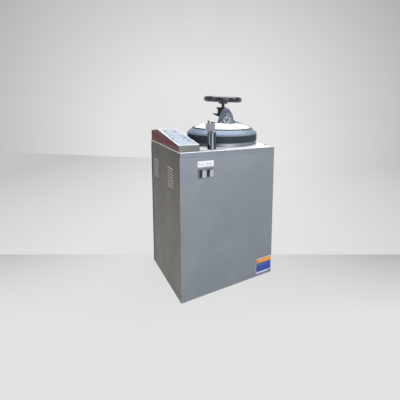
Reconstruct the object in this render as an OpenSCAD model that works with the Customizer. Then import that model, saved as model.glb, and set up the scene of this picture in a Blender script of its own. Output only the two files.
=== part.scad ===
// Floor-standing vertical autoclave with a handwheel-locked, rear-hinged lid.
// Millimetres. Origin: centre of the footprint on the floor. +X right, +Y to the back, +Z up.

/* [Cabinet] */
// Width and depth of the square cabinet
cab = 520; // [500:5:560]
// Height of the top plate above the floor
cab_top = 751; // [740:1:760]
// Height of the lower edge of the panels above the floor
panel_gap = 4; // [2:1:12]
// Thickness of the stainless sheet
sheet = 1.5; // [1:0.1:2]
// Depth of the folded skirt around the top plate
skirt = 24; // [20:1:30]

/* [Vessel] */
// Distance of the lid axis to the right of the cabinet's centre
lid_x = 64.5; // [50:0.5:64.5]
// Distance of the lid axis behind the cabinet's centre
lid_y = -11.5; // [-12:0.5:0]
// Inner radius of the chamber
vessel_r = 154; // [150:1:155]
// Height of the chamber's lower edge above the floor
vessel_z = 225; // [215:1:235]

/* [Lid] */
// Outer radius of the ring cover around the lid
ring_r = 194.5; // [194:0.5:195]
// Radius of the dome inside the ring cover
dome_r = 159; // [156:1:163]
// Rise of the dome above its own edge
dome_rise = 34; // [28:1:36]
// Largest opening angle that the hinge is made for, in degrees
lid_open = 80; // [60:1:85]

/* [Closure] */
// Number of turns of the handwheel from unlocked to locked
wheel_turns = 3; // [2:1:4]
// Travel of the crosshead and of each locking bar
lock_travel = 12; // [10:1:12]
// Outer radius of the handwheel
wheel_r = 106; // [90:1:110]
// Thickness of the handwheel's rim
rim_t = 32; // [16:1:36]

/* [Console] */
// Width of the control console
console_w = 100; // [90:1:104]
// Height of the console's front edge above the top plate
console_front = 30; // [24:1:34]
// Height of the console's ridge above the top plate
console_peak = 73; // [64:1:78]

/* [Hidden] */
$fn = 64;
eps = 0.02;
half = cab / 2;
inner = half - sheet;
axis_pos = [lid_x, lid_y, 0];
skirt_z = cab_top - skirt;
panel_top = skirt_z - 0.6;
// Vessel and flange levels
flange_z = cab_top + 4;
seal_z = flange_z + 15;
lip_z = seal_z + 31;
lip_r = 174;
groove_r = 182.5;
flange_r = 188;
shell_t = 2.5;
jacket_r = 178;
// Lid levels
ring_low = cab_top + 21;
ring_edge = cab_top + 58;
ring_top = cab_top + 89;
dome_R = (pow(dome_r, 2) + pow(dome_rise, 2)) / (2 * dome_rise);
dome_c = ring_top + dome_rise - dome_R;
dome_t = 2.5;
bead_t = 4;
plate_z = seal_z + 6;
plate_top = plate_z + 10;
bar_z = plate_top + 2;
bar_h = 12;
bar_w = 22;
bar_r = lip_r - 6;
bar_in = 40;
bar_names = ["front_left", "front_right", "rear_right", "rear_left"];
bar_angles = [225, 315, 45, 135];
// Screw, yoke and handwheel levels
shaft_r = 9;
hole_r = shaft_r + 1.5;
wheel_z = cab_top + 250;
hub_z = wheel_z - 21;
shelf_z = cab_top + 197;
// Hinge of the lid
hinge_y = 232;
hinge_z = cab_top + 39;
pin_r = 8;
ear_x = 66;
// Interlock post in front of the lid
post = [-85, -210];
block = [-92, -204];
block_turn = atan2(lid_y - block[1], lid_x - block[0]);
block_z = cab_top + 87;
block_side = [-22, 18];
block_h = 43;
plunger_z = block_z + 24;
plunger_r = 7;
lever_y = -10;
button_at = [-3, 6];
// Console profile, as points of depth and height
slope_y0 = -245;
slope_y1 = 122;
slope_z0 = cab_top + console_front;
slope_z1 = cab_top + console_peak;
slope_a = atan2(slope_z1 - slope_z0, slope_y1 - slope_y0);
slope_len = norm([slope_y1 - slope_y0, slope_z1 - slope_z0]);
membrane_t = 2;
console_x = -half + 1;
key_x = console_x + console_w * 0.4;
key_s = 130;
key_travel = 0.8;
display_s = 280;
display_l = 58;
display_w = 52;
// Breaker pair on the front
breaker = [-133, 641.5];
module_x = [-19, 19];
module_size = [36.4, 42.2];
slot_size = [15.2, 39];
rocker_x = -9.6;
rocker_tilt = 7;
// Service pocket at the back
pocket = [-220, 60];
pocket_size = [180, 110];
pocket_y = 178;
valve_x = -90;
valve_z = 105;
gland_x = -185;
outlet_x = -140;
outlet_z = 143;
// Pipe manifold beside the vessel
mani = [-118, 97, 640];

// A box given by its lowest and highest corners
module span(a, b) {
    translate(a) cube(b - a);
}

// A round bar from p to q
module bar(p, q, r) {
    d = q - p;
    translate(p)
        rotate([0, acos(d[2] / norm(d)), atan2(d[1], d[0])])
            cylinder(r = r, h = norm(d));
}

// A pipe through a list of points, with a ball at each corner
module pipe(pts, r) {
    for (i = [1:len(pts) - 1])
        bar(pts[i - 1], pts[i], r);
    for (i = [1:len(pts) - 2])
        translate(pts[i]) sphere(r = r);
}

// A ring of square section, r0 to r1 and z0 to z1, on the vertical axis
module band(r0, r1, z0, z1) {
    difference() {
        translate([0, 0, z0]) cylinder(r = r1, h = z1 - z0, $fn = 96);
        translate([0, 0, z0 - 1]) cylinder(r = r0, h = z1 - z0 + 2, $fn = 96);
    }
}

// Moves a child to the lid axis
module on_axis() {
    translate(axis_pos) children();
}

// Moves a child to one point and its mirror images at all four corners
module corners(x, y) {
    for (sx = [-1, 1], sy = [-1, 1])
        translate([sx * x, sy * y, 0]) children();
}

// Moves a child so that its X runs along the console's slope from the front edge, Z out of it
module on_slope(s = 0, x = 0) {
    translate([x, slope_y0, slope_z0])
        rotate([slope_a, 0, 0])
            translate([0, s, 0]) children();
}

// Outer surface of the dome at radius r
function dome_z(r, t = 0) = dome_c + sqrt(pow(dome_R - t, 2) - pow(r, 2));

// ---- Frame and casing ----

module frame() {
    o = inner - 1.5;
    leg = 25;
    t = 2.5;
    color("dimgray") difference() {
        union() {
            difference() {
                span([-o, -o, 12], [o, o, 12 + leg]);
                span([t - o, t - o, 12 + t], [o - t, o - t, 12 + leg + 1]);
                span([leg - o, leg - o, 11], [o - leg, o - leg, 12 + t + 1]);
            }
            difference() {
                span([-o, -o, skirt_z], [o, o, cab_top - sheet - 0.3]);
                span([t - o, t - o, skirt_z - 1], [o - t, o - t, cab_top]);
            }
            for (a = [0:90:270])
                rotate(a) difference() {
                    span([o - leg, o - leg, 12], [o, o, skirt_z + 1]);
                    span([o - leg - 1, o - leg - 1, 11], [o - t, o - t, skirt_z + 2]);
                }
        }
        corners(o - 14, o - 14) translate([0, 0, 11]) cylinder(r = 6, h = 5);
    }
}

module base_plate() {
    o = inner - 4.2;
    color("silver") difference() {
        span([-o, -o, 14.6], [o, o, 14.6 + sheet]);
        corners(o, o) cube([50, 50, 60], center = true);
        for (i = [-2:2])
            translate([-180 + 12 * i, -190, 13]) cylinder(r = 3, h = 5);
    }
}

// A flat panel facing -Y with folded returns along both sides
module face_panel() {
    span([-half, -half, panel_gap], [half, -inner, panel_top]);
    for (s = [0, 1])
        mirror([s, 0, 0])
            span([inner - 1.4, -inner - eps, panel_gap], [inner - 0.1, -inner + 16, panel_top]);
}

module front_panel() {
    color("lightsteelblue") difference() {
        face_panel();
        translate([breaker[0] - 39.7, -half - 1, breaker[1] - 23.5]) cube([79.4, 5, 47]);
    }
}

module rear_panel() {
    color("lightsteelblue") difference() {
        rotate(180) face_panel();
        translate([pocket[0], inner - 1, pocket[1]]) cube([pocket_size[0], 5, pocket_size[1]]);
        for (i = [0:5])
            translate([60 + 24 * i, inner - 1, 90]) cube([8, 5, 60]);
    }
}

// One pressed louvre that opens downwards, on a panel facing -X
module louvre(len) {
    translate([-half, 0, 0]) rotate([-90, 0, 0])
        linear_extrude(len)
            polygon([[0.2, 3.4], [-3, 3.4], [-3, 2.4], [-0.4, -3.4], [0.2, -3.4]]);
}

// Sizes and places of the two columns of louvres: first depth, length
louvre_cols = [[-162, 95], [98, 95]];
louvre_n = 10;
louvre_z0 = 551;
louvre_pitch = 11;

module side_panel() {
    difference() {
        union() {
            span([-half, -inner + 0.1, panel_gap], [-inner, inner - 0.1, panel_top]);
            for (c = louvre_cols, i = [0:louvre_n - 1])
                translate([0, c[0], louvre_z0 + louvre_pitch * i]) louvre(c[1]);
        }
        for (c = louvre_cols, i = [0:louvre_n - 1])
            translate([-half - 2, c[0] + 1, louvre_z0 + louvre_pitch * i - 4.4]) cube([6, c[1] - 2, 3]);
    }
}

module left_panel() {
    color("rosybrown") side_panel();
}

module right_panel() {
    color("lightsteelblue") mirror([1, 0, 0]) side_panel();
}

// Top sheet with folded skirt, vessel hole and the welded collar around the neck
module top_plate() {
    color("silver") {
        difference() {
            span([-half, -half, skirt_z], [half, half, cab_top]);
            span([-inner, -inner, skirt_z - 1], [inner, inner, cab_top - sheet]);
            on_axis() cylinder(r = jacket_r + 4, h = cab_top + 10);
            translate([console_x + 20, -100, cab_top - 5]) cube([60, 60, 10]);
            translate([245, -170, cab_top - 5]) cylinder(r = 4, h = 10);
        }
        on_axis() band(flange_r + 0.4, flange_r + 2.4, cab_top - eps, ring_low - 1);
        on_axis() band(flange_r + 0.4, flange_r + 5, cab_top - eps, cab_top + 1.5);
    }
}

module levelling_feet() {
    color("dimgray") corners(inner - 15.5, inner - 15.5) {
        cylinder(r = 13, h = 8);
        translate([0, 0, 8 - eps]) cylinder(r = 5.5, h = 26);
        translate([0, 0, 8 - eps]) cylinder(r = 9, h = 4 - 0.1, $fn = 6);
    }
}

module service_pocket() {
    t = sheet;
    color("silver") difference() {
        translate([pocket[0] + 0.2, pocket_y, pocket[1] + 0.2])
            cube([pocket_size[0] - 0.4, half - pocket_y, pocket_size[1] - 0.4]);
        translate([pocket[0] + t, pocket_y + t, pocket[1] + t])
            cube([pocket_size[0] - 2 * t, half, pocket_size[1] - 2 * t]);
        for (p = [[valve_x, 8.2, valve_z], [gland_x, 9.2, valve_z], [outlet_x, 7.2, outlet_z]])
            translate([p[0], pocket_y - 1, p[2]]) rotate([-90, 0, 0]) cylinder(r = p[1], h = 5);
    }
}

module front_labels() {
    color("white") span([-176, -half - 0.4, 675], [-96, -half, 704]);
    color("orange") span([158, -half - 0.4, 16], [half - 2, -half, 106]);
}

module panel_screws() {
    color("gray") {
        for (x = [-244, 0, 244], z = [40, 360, 690])
            translate([x, half, z]) rotate([-90, 0, 0]) screw_head();
        translate([245, -170, cab_top]) screw_head(6);
    }
}

module screw_head(r = 4) {
    difference() {
        intersection() {
            cylinder(r = r, h = 1.8);
            translate([0, 0, -r * 1.4]) sphere(r = r * 1.8);
        }
        translate([-r, -0.5, 1]) cube([2 * r, 1, 2]);
    }
}

// ---- Vessel and what it holds ----

dish = 30;
dish_n = 8;

function bowl(r, z) = [for (i = [0:dish_n]) [r * i / dish_n, z - dish * (1 - pow(i / dish_n, 2))]];

module vessel_shell() {
    t = shell_t;
    outer = bowl(vessel_r + t, vessel_z - t);
    inside = bowl(vessel_r, vessel_z);
    color("silver") on_axis() {
        difference() {
            rotate_extrude($fn = 96)
                polygon(concat(outer, [[vessel_r + t, flange_z], [vessel_r, flange_z]],
                    [for (i = [dish_n:-1:0]) inside[i]]));
            translate([0, 0, vessel_z - dish - 10]) cylinder(r = 7, h = 20);
            for (p = [[174, 12], [186, 12], [180, 26]])
                rotate(p[0]) translate([0, 0, vessel_z + p[1]])
                    bar([vessel_r - 12, 0, 0], [vessel_r + 12, 0, 0], 5.2);
            rotate(150) bar([vessel_r - 10, 0, mani[2]], [vessel_r + 20, 0, mani[2]], 7);
        }
        for (a = [90, 210, 330])
            rotate(a) span([vessel_r + t - 0.6, -15, 16.2], [vessel_r + 9, 15, 300]);
    }
}

module vessel_flange() {
    color("silver") on_axis()
        rotate_extrude($fn = 96)
            polygon([[vessel_r, flange_z], [flange_r, flange_z], [flange_r, lip_z + 8], [lip_r, lip_z + 8],
                [lip_r, lip_z], [groove_r, lip_z], [groove_r, seal_z], [vessel_r, seal_z]]);
}

module insulation_jacket() {
    color("gold") on_axis() difference() {
        band(vessel_r + shell_t + 0.5, jacket_r, 302, cab_top - 3);
        rotate(150) span([100, -20, mani[2] - 20], [200, 20, mani[2] + 20]);
    }
}

// Ring heater near the bottom whose two ends leave through the wall on the left
module heating_element() {
    r = vessel_r - 44;
    color("dimgray") on_axis() translate([0, 0, vessel_z + 12]) {
        rotate(186) rotate_extrude(angle = 348) translate([r, 0]) circle(r = 4.5);
        for (a = [174, 186])
            rotate(a) bar([r - 4, 0, 0], [vessel_r + 16, 0, 0], 4.5);
    }
}

module basket_rack() {
    z = vessel_z + 36;
    color("silver") on_axis() difference() {
        union() {
            translate([0, 0, z]) cylinder(r = vessel_r - 3, h = 3);
            band(vessel_r - 12, vessel_r - 9, vessel_z - 3, z + eps);
        }
        for (a = [0:30:330], r = [50, 90, 130])
            rotate(a) translate([r, 0, z - 1]) cylinder(r = 7, h = 5);
        for (a = [0:60:300])
            rotate(a) span([vessel_r - 20, -22, vessel_z - 5], [vessel_r, 22, z - 6]);
    }
}

basket_h = 226;
basket_z = vessel_z + 39.2;
basket_r = vessel_r - 7;

// A sheet basket with a rim wire and a carrying rod, its floor at z
module basket(z) {
    on_axis() {
        difference() {
            translate([0, 0, z]) cylinder(r = basket_r, h = basket_h, $fn = 96);
            translate([0, 0, z + 1.5]) cylinder(r = basket_r - 1.5, h = basket_h, $fn = 96);
            for (a = [0:45:315], r = [45, 100])
                rotate(a) translate([r, 0, z - 1]) cylinder(r = 9, h = 5);
        }
        bar([-basket_r + 1, 0, z + basket_h - 14], [basket_r - 1, 0, z + basket_h - 14], 4);
    }
}

module lower_basket() {
    color("lightgray") basket(basket_z);
}

module upper_basket() {
    color("lightgray") basket(basket_z + basket_h + 0.3);
}

// Level probe and temperature probe through the wall, below the baskets
module vessel_sensors() {
    color("goldenrod") on_axis() translate([0, 0, vessel_z + 26])
        rotate(180) {
            bar([vessel_r - 30, 0, 0], [vessel_r + 14, 0, 0], 3);
            bar([vessel_r + 4, 0, 0], [vessel_r + 16, 0, 0], 8);
        }
}

// ---- Pipes and valves ----

module pipework() {
    low = vessel_z - dish;
    color("peru") difference() {
        union() {
            pipe([[lid_x, lid_y, low - 3], [lid_x, lid_y, valve_z], [valve_x, lid_y, valve_z],
                [valve_x, pocket_y + 12, valve_z]], 7);
            on_axis() rotate(150) bar([vessel_r + shell_t + 0.2, 0, mani[2]], [200, 0, mani[2]], 6.8);
            translate(mani) cube([28, 28, 24], center = true);
            pipe([mani + [-50.5, 0, 0], mani + [-76, 0, 0], [mani[0] - 76, mani[1], outlet_z],
                [outlet_x, mani[1], outlet_z], [outlet_x, 225, outlet_z]], 6);
            translate([outlet_x, 195, outlet_z]) rotate([-90, 0, 0]) cylinder(r = 7.5, h = 40);
        }
        translate([outlet_x, 190, outlet_z]) rotate([-90, 0, 0]) cylinder(r = 4.5, h = 50);
    }
}

module drain_valve() {
    y = pocket_y + 12.2;
    color("goldenrod") difference() {
        union() {
            translate([valve_x, y, valve_z]) rotate([-90, 0, 0]) cylinder(r = 12, h = 16, $fn = 6);
            translate([valve_x, y + 24, valve_z]) sphere(r = 15);
            translate([valve_x, y + 32, valve_z]) rotate([-90, 0, 0]) cylinder(r = 12, h = 7, $fn = 6);
            translate([valve_x, y + 38, valve_z]) rotate([-90, 0, 0]) cylinder(r = 8, h = 24);
            translate([valve_x, y + 24, valve_z]) cylinder(r = 7, h = 20);
        }
        translate([valve_x, y + 40, valve_z]) rotate([-90, 0, 0]) cylinder(r = 5.5, h = 40);
        translate([valve_x, y + 24, valve_z + 15]) cylinder(r = 3.05, h = 20);
    }
}

// Quarter-turn lever: across the pipe when shut
module drain_valve_lever() {
    translate([valve_x, pocket_y + 36.2, valve_z]) color("firebrick") {
        translate([0, 0, 15.4]) cylinder(r = 3, h = 8);
        difference() {
            span([-64, -6, 20.4], [7, 6, 23.4]);
            translate([-56, 0, 19]) cylinder(r = 2.5, h = 6);
        }
        translate([0, 0, 23.3]) cylinder(r = 4.5, h = 3, $fn = 6);
    }
}

module safety_valve() {
    translate(mani + [0, 0, 12]) color("goldenrod") difference() {
        union() {
            cylinder(r = 11, h = 12, $fn = 6);
            translate([0, 0, 12 - eps]) cylinder(r = 9, h = 38);
            translate([0, 0, 50 - 2 * eps]) cylinder(r = 6, h = 7);
            span([-10, -8, 48], [-5, 8, 64]);
        }
        translate([-12, 0, 60]) rotate([0, 90, 0]) cylinder(r = 2.05, h = 10);
    }
}

module safety_valve_lever() {
    translate(mani + [0, 0, 72]) color("firebrick") {
        translate([-10.5, 0, 0]) rotate([0, 90, 0]) cylinder(r = 2, h = 10);
        span([-4.6, -34, -1], [0, 2.6, 2.6]);
    }
}

module exhaust_valve() {
    translate(mani + [-14.2, 0, 0]) color("black") {
        bar([0, 0, 0], [-36, 0, 0], 11);
        span([-32, -12, 10], [-8, 12, 44]);
        translate([-20, 0, 44 - eps]) cylinder(r = 5, h = 5);
    }
}

// ---- Electrical parts ----

module power_module() {
    color("darkslategray") {
        span([-250, -30, 330], [-248, 70, 480]);
        span([-248, -20, 350], [-205, 20, 420]);
        span([-248, 30, 350], [-215, 60, 410]);
        span([-248, -20, 440], [-225, 60, 462]);
    }
}

module cable_gland() {
    translate([gland_x, pocket_y - 8, valve_z]) rotate([-90, 0, 0])
        color("black") difference() {
            union() {
                cylinder(r = 13, h = 7.9, $fn = 6);
                cylinder(r = 9, h = 14);
                translate([0, 0, 9.6]) cylinder(r = 13, h = 8, $fn = 6);
                translate([0, 0, 17.5]) cylinder(r1 = 12, r2 = 8, h = 12);
            }
            translate([0, 0, -1]) cylinder(r = 4.5, h = 40);
        }
}

// Two breakers behind a cut-out of the front, their faces a little proud of the panel
module breaker_housing() {
    w = module_size[0];
    h = module_size[1];
    color("gray") translate([breaker[0], 0, breaker[1]]) difference() {
        union() {
            for (x = module_x)
                span([x - w / 2, -half - 2.5, -h / 2], [x + w / 2, -half + 52, h / 2]);
            span([-46, -inner, -30], [46, -inner + 2, 30]);
        }
        for (x = module_x)
            translate([x + rocker_x - slot_size[0] / 2, -half - 3, -slot_size[1] / 2])
                cube([slot_size[0], 17, slot_size[1]]);
    }
}

// One tall rocker on a pivot across its slot, tilted to the off side
module breaker_toggle(x) {
    w = slot_size[0] - 0.8;
    h = slot_size[1] / 2 - 1.7;
    translate([breaker[0] + x + rocker_x, -half + 7, breaker[1]]) rotate([rocker_tilt, 0, 0]) color("black") {
        rotate([0, 90, 0]) cylinder(r = 4, h = w, center = true);
        difference() {
            span([-w / 2, -11, -h], [w / 2, -1, h]);
            for (s = [-1, 1])
                translate([0, 2, s * (h + 1.5)]) rotate([0, 90, 0]) cylinder(r = 8, h = 20, center = true);
        }
    }
}

module breaker_toggle_left() {
    breaker_toggle(module_x[0]);
}

module breaker_toggle_right() {
    breaker_toggle(module_x[1]);
}

// ---- Console ----

module console_profile(d = 0) {
    polygon([[-249 + d, cab_top + d], [-245 + d, slope_z0 - d], [slope_y1, slope_z1 - d],
        [251 - d, cab_top + 58 - d], [253 - d, cab_top + d]]);
}

module console_shell() {
    w = console_w - 1;
    color("silver") difference() {
        translate([console_x, 0, 0]) rotate([90, 0, 90]) linear_extrude(w) console_profile();
        translate([console_x + sheet, 0, 0]) rotate([90, 0, 90])
            linear_extrude(w - 2 * sheet) console_profile(sheet);
        on_slope(20, console_x + 12) translate([0, 0, -6]) cube([w - 24, 322, 12]);
        translate([console_x + 20, -100, cab_top - 1]) cube([60, 60, 5]);
    }
}

module key_outline(r, grow = 0) {
    scale([0.62, 1]) circle(r = r + grow);
}

module arc_outline(grow = 0) {
    difference() {
        key_outline(62, grow);
        key_outline(42, -grow);
        translate([-80, grow - 20]) square([160, 100]);
    }
}

// Membrane plate on the slope, open for the display and the keys
module console_membrane() {
    w = console_w - 1;
    color("aliceblue") on_slope(2, console_x) difference() {
        translate([0, 0, 0.05]) cube([w, slope_len - 4, membrane_t]);
        translate([key_x - console_x, key_s - 2, -1]) {
            linear_extrude(5) key_outline(32, 0.35);
            linear_extrude(5) arc_outline(0.35);
            linear_extrude(5) mirror([0, 1]) arc_outline(0.35);
        }
        translate([w / 2 - display_w / 2, display_s - 2, -1]) cube([display_w, display_l, 5]);
    }
}

module display_window() {
    w = console_w - 1;
    color("darkslategray") on_slope(display_s, console_x + w / 2 - display_w / 2)
        translate([0.2, 0.2, 0.05]) cube([display_w - 0.4, display_l - 0.4, membrane_t + 0.55]);
}

// A key cap in its opening of the membrane: a little proud, with its travel free below it
module key_cap() {
    color("lightcyan") on_slope(key_s, key_x) translate([0, 0, key_travel + 0.15])
        linear_extrude(membrane_t) children();
}

module key_start() {
    key_cap() key_outline(32);
}

module key_up() {
    key_cap() mirror([0, 1]) arc_outline();
}

module key_down() {
    key_cap() arc_outline();
}

module control_board() {
    color("darkgreen") on_slope(24, console_x + 16) {
        translate([0, 0, -9]) cube([console_w - 34, 312, 1.6]);
        for (x = [5, console_w - 39], y = [8, 300])
            translate([x, y, -7.5]) cylinder(r = 3, h = 7.4);
        translate([10, 240, -7.5]) cube([44, 70, 5.5]);
    }
}

// ---- Hinge and interlock on the top plate ----

module hinge_bracket() {
    color("silver") translate([lid_x, 0, 0]) difference() {
        union() {
            span([-80, 210, cab_top], [80, half - 2, cab_top + 5]);
            for (s = [-1, 1])
                translate([s * (ear_x + 4) - 4, 0, 0]) {
                    span([0, hinge_y - 16, cab_top + 5 - eps], [8, hinge_y + 16, hinge_z]);
                    translate([0, hinge_y, hinge_z]) rotate([0, 90, 0]) cylinder(r = 16, h = 8);
                }
        }
        translate([-90, hinge_y, hinge_z]) rotate([0, 90, 0]) cylinder(r = pin_r + 0.05, h = 180);
        for (x = [-40, 0, 40])
            translate([x, 218, cab_top - 1]) cylinder(r = 3.3, h = 8);
    }
}

module hinge_pin() {
    color("gainsboro") translate([lid_x - ear_x - 10, hinge_y, hinge_z]) rotate([0, 90, 0]) {
        cylinder(r = pin_r, h = 2 * ear_x + 20);
        translate([0, 0, -3]) cylinder(r = pin_r + 3, h = 3 + eps);
    }
}

module interlock_post() {
    color("gainsboro") translate([post[0], post[1], cab_top]) {
        cylinder(r = 23, h = 2);
        cylinder(r = 21.5, h = block_z - cab_top - 0.02);
    }
}

// Moves a child to the interlock block, its X pointing at the lid axis
module on_block() {
    translate([block[0], block[1], 0]) rotate(block_turn) children();
}

module interlock_block() {
    top = block_z + block_h;
    color("gray") on_block() difference() {
        union() {
            span([-15, block_side[0], block_z + 8], [15, block_side[1], top]);
            translate([0, 0, block_z]) cylinder(r = 12, h = 8 + eps);
        }
        translate([-12, 0, plunger_z]) rotate([0, 90, 0]) cylinder(r = plunger_r + 0.05, h = 60);
        translate([button_at[0], button_at[1], top - 12]) cylinder(r = 4.05, h = 20);
        translate([0, lever_y, top - 10]) cylinder(r = 4.05, h = 20);
    }
}

// Bolt that moves out over the edge of the lid and keeps it shut
module interlock_plunger() {
    color("gainsboro") on_block() translate([-11.5, 0, plunger_z]) rotate([0, 90, 0])
        cylinder(r = plunger_r, h = 54);
}

module interlock_lever() {
    z = block_z + block_h;
    color("black") on_block() translate([0, lever_y, 0]) {
        translate([0, 0, z - 9.5]) cylinder(r = 4, h = 12);
        translate([0, 0, z + 1]) cylinder(r = 6, h = 6);
        span([-3, -17, z + 2], [3, 0, z + 6]);
    }
}

module interlock_button() {
    z = block_z + block_h;
    color("black") on_block() translate([button_at[0], button_at[1], 0]) {
        translate([0, 0, z - 7]) cylinder(r = 4, h = 14);
        translate([0, 0, z + 5]) cylinder(r = 6, h = 5);
        translate([0, 0, z + 10 - eps]) cylinder(r1 = 6, r2 = 2, h = 3);
        translate([0, 0, z + 12]) cylinder(r = 1.2, h = 4);
    }
}

// ---- Lid ----

// Pressure plate: flat on top for the bars, bulged underneath, with a groove for the seal
module lid_plate() {
    n = 10;
    r = 150;
    bulge = [for (i = [0:n]) [r * i / n, plate_z - 12 * (1 - pow(i / n, 2))]];
    groove = [[157.9, plate_z], [157.9, plate_z + 3], [166.1, plate_z + 3], [166.1, plate_z]];
    color("silver") on_axis() rotate_extrude($fn = 96)
        polygon(concat(bulge, groove, [[bar_r, plate_z], [bar_r, plate_top], [0, plate_top]]));
}

module lid_seal() {
    color("orangered") on_axis() band(158, 166, seal_z + 0.3, plate_z + 3);
}

// Four bridges that carry the locking bars, and four pillars that carry the dome
module bar_guides() {
    color("gray") on_axis() {
        for (a = bar_angles)
            rotate(a) difference() {
                span([100, -bar_w / 2 - 9, plate_top], [140, bar_w / 2 + 9, bar_z + bar_h + 8]);
                span([99, -bar_w / 2 - 0.1, bar_z - 0.1], [141, bar_w / 2 + 0.1, bar_z + bar_h + 0.1]);
            }
        intersection() {
            for (a = [0:90:270])
                rotate(a) translate([120, 0, plate_top]) cylinder(r = 9, h = 100);
            translate([0, 0, dome_c]) sphere(r = dome_R - dome_t - 0.1, $fn = 128);
        }
    }
}

module lid_dome() {
    n = 16;
    top = [for (i = [0:n]) let (r = hole_r + (dome_r - hole_r) * i / n) [r, dome_z(r)]];
    low = [for (i = [n:-1:0]) let (r = hole_r + (dome_r - dome_t - hole_r) * i / n) [r, dome_z(r) - dome_t]];
    edge = [[dome_r, ring_top - 14], [dome_r - dome_t, ring_top - 14]];
    color("white") on_axis() rotate_extrude($fn = 96) polygon(concat(top, edge, low));
}

module lid_bead() {
    color("black") on_axis() band(dome_r + 0.02, dome_r + bead_t, ring_top - 8, ring_top + 1);
}

module ring_cover() {
    t = 2;
    r = dome_r + bead_t + 0.1;
    color("slategray") on_axis() rotate_extrude($fn = 96)
        polygon([[ring_r, ring_low], [ring_r, ring_edge], [r + 2.3, ring_top], [r, ring_top],
            [r, ring_top - t], [r + 1.5, ring_top - t], [ring_r - t, ring_edge - 0.8], [ring_r - t, ring_low]]);
}

// Bell-shaped cast bracket that stands on the dome in front of the screw, turned to the left
bell = [[48, 27, 0], [41, 25, 23], [38, 23, 40], [30, 19, 57], [17, 12, 74], [6, 5, 84]];
bell_y = -41;
bell_z = ring_top + dome_rise - 3;
bell_turn = -27;

module lid_bracket() {
    color("silver") on_axis() difference() {
        translate([0, bell_y, bell_z]) rotate(bell_turn) {
            hull() for (b = bell)
                translate([0, 0, b[2]])
                    scale([b[0] / 50, b[1] / 50, 1]) cylinder(r = 50, h = 2, $fn = 32);
            difference() {
                translate([4, -8, 18]) rotate([90, 0, 0]) cylinder(r = 18, h = 19, $fn = 48);
                for (s = [-1, 1])
                    translate([4 + s * 8.5, -23, 19]) rotate([90, 0, 0]) cylinder(r = 4, h = 10);
            }
            for (s = [-1, 1])
                translate([s * 31, -16, -10]) cylinder(r = 11, h = 14);
            translate([0, 0, -10]) scale([1.04, 0.52, 1]) cylinder(r = 50, h = 12, $fn = 48);
        }
        translate([0, 0, dome_c]) sphere(r = dome_R + 0.1, $fn = 128);
        translate([0, 0, bell_z - 20]) cylinder(r = shaft_r + 1, h = 200);
    }
}

// Black cast nut yoke: a shelf round the screw, a slanted web, a lower arm, and a strap that
// runs down the dome to the right
strap_angle = 4;
strap_w = 12;

module nut_yoke() {
    foot = dome_z(0) - 8;
    strap = [for (r = [78:13:156]) [r, dome_z(r) + 6]];
    under = [for (r = [156:-17:20]) [r, dome_z(r) + 0.15]];
    color("black") on_axis() difference() {
        union() {
            span([-36, -8, shelf_z], [-8, 12, shelf_z + 8]);
            translate([0, 2, shelf_z - 10]) cylinder(r = 14, h = 18);
            rotate([90, 0, 0]) translate([0, 0, -12]) linear_extrude(20)
                polygon([[-8, shelf_z + 2], [-32, shelf_z + 2], [-27, shelf_z - 16], [-34, shelf_z - 34],
                    [-57, shelf_z - 27], [-58, shelf_z - 33], [-28, shelf_z - 45], [-8, shelf_z - 44]]);
            translate([0, 2, foot]) cylinder(r = 13, h = shelf_z - foot);
            span([-24, -8, shelf_z - 45], [0, 12, shelf_z - 20]);
            rotate(strap_angle) rotate([90, 0, 0]) translate([0, 0, -strap_w / 2 - 4]) linear_extrude(strap_w)
                polygon(concat([[10, shelf_z - 32], [44, shelf_z - 37], [58, shelf_z - 47], [66, shelf_z - 62]],
                    strap, under, [[10, dome_z(0)]]));
        }
        translate([0, 0, foot - 1]) cylinder(r = shaft_r + 0.6, h = shelf_z - foot - 8);
        translate([0, 0, shelf_z - 10]) cylinder(r = shaft_r + 0.06, h = 30);
        translate([0, bell_y, bell_z]) rotate(bell_turn) {
            translate([0, 0, -12]) scale([1.05, 0.53, 1]) cylinder(r = 50, h = 14.5, $fn = 48);
            span([-60, -40, -12], [60, 27.4, 90]);
        }
        translate([0, 0, dome_c]) sphere(r = dome_R + 0.1, $fn = 128);
    }
}

// Steel arm from the ring cover back to the hinge, with the strap that runs over the dome
module hinge_arm() {
    color("dimgray") difference() {
        union() {
            for (x = [-50, 38])
                translate([lid_x + x, 0, 0]) span([0, 150, hinge_z - 8], [12, hinge_y, hinge_z + 26]);
            translate([lid_x - 50, 0, 0]) span([0, 160, hinge_z + 14], [100, 196, hinge_z + 26]);
            translate([lid_x - ear_x + 0.4, hinge_y, hinge_z]) rotate([0, 90, 0])
                cylinder(r = 14, h = 2 * ear_x - 0.8);
            for (x = [-50, 38])
                translate([lid_x + x, hinge_y, hinge_z]) rotate([0, 90, 0]) cylinder(r = 27, h = 12);
        }
        translate([lid_x - 100, hinge_y, hinge_z]) rotate([0, 90, 0]) cylinder(r = pin_r + 0.06, h = 200);
        translate([0, hinge_y + 14, hinge_z - 40]) cube([200, 40, 100]);
        translate([lid_x, lid_y, ring_low - 20])
            cylinder(r = ring_r + 0.1, h = ring_edge - ring_low + 20, $fn = 96);
        translate([lid_x, lid_y, ring_edge - eps])
            cylinder(r1 = ring_r + 0.1, r2 = dome_r + bead_t + 2.5, h = ring_top - ring_edge, $fn = 96);
    }
}

// ---- Closure ----

// Cone that pushes the four locking bars outwards as the screw presses it down
module crosshead() {
    z = bar_z + bar_h - 0.5;
    color("gray") on_axis() difference() {
        union() {
            translate([0, 0, z]) cylinder(r1 = bar_in + 11.1, r2 = bar_in + 25.1, h = 14, $fn = 96);
            translate([0, 0, z + 14 - eps]) cylinder(r = 16, h = 18);
        }
        translate([0, 0, z + 4]) cylinder(r = shaft_r + 0.06, h = 60);
    }
}

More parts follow.
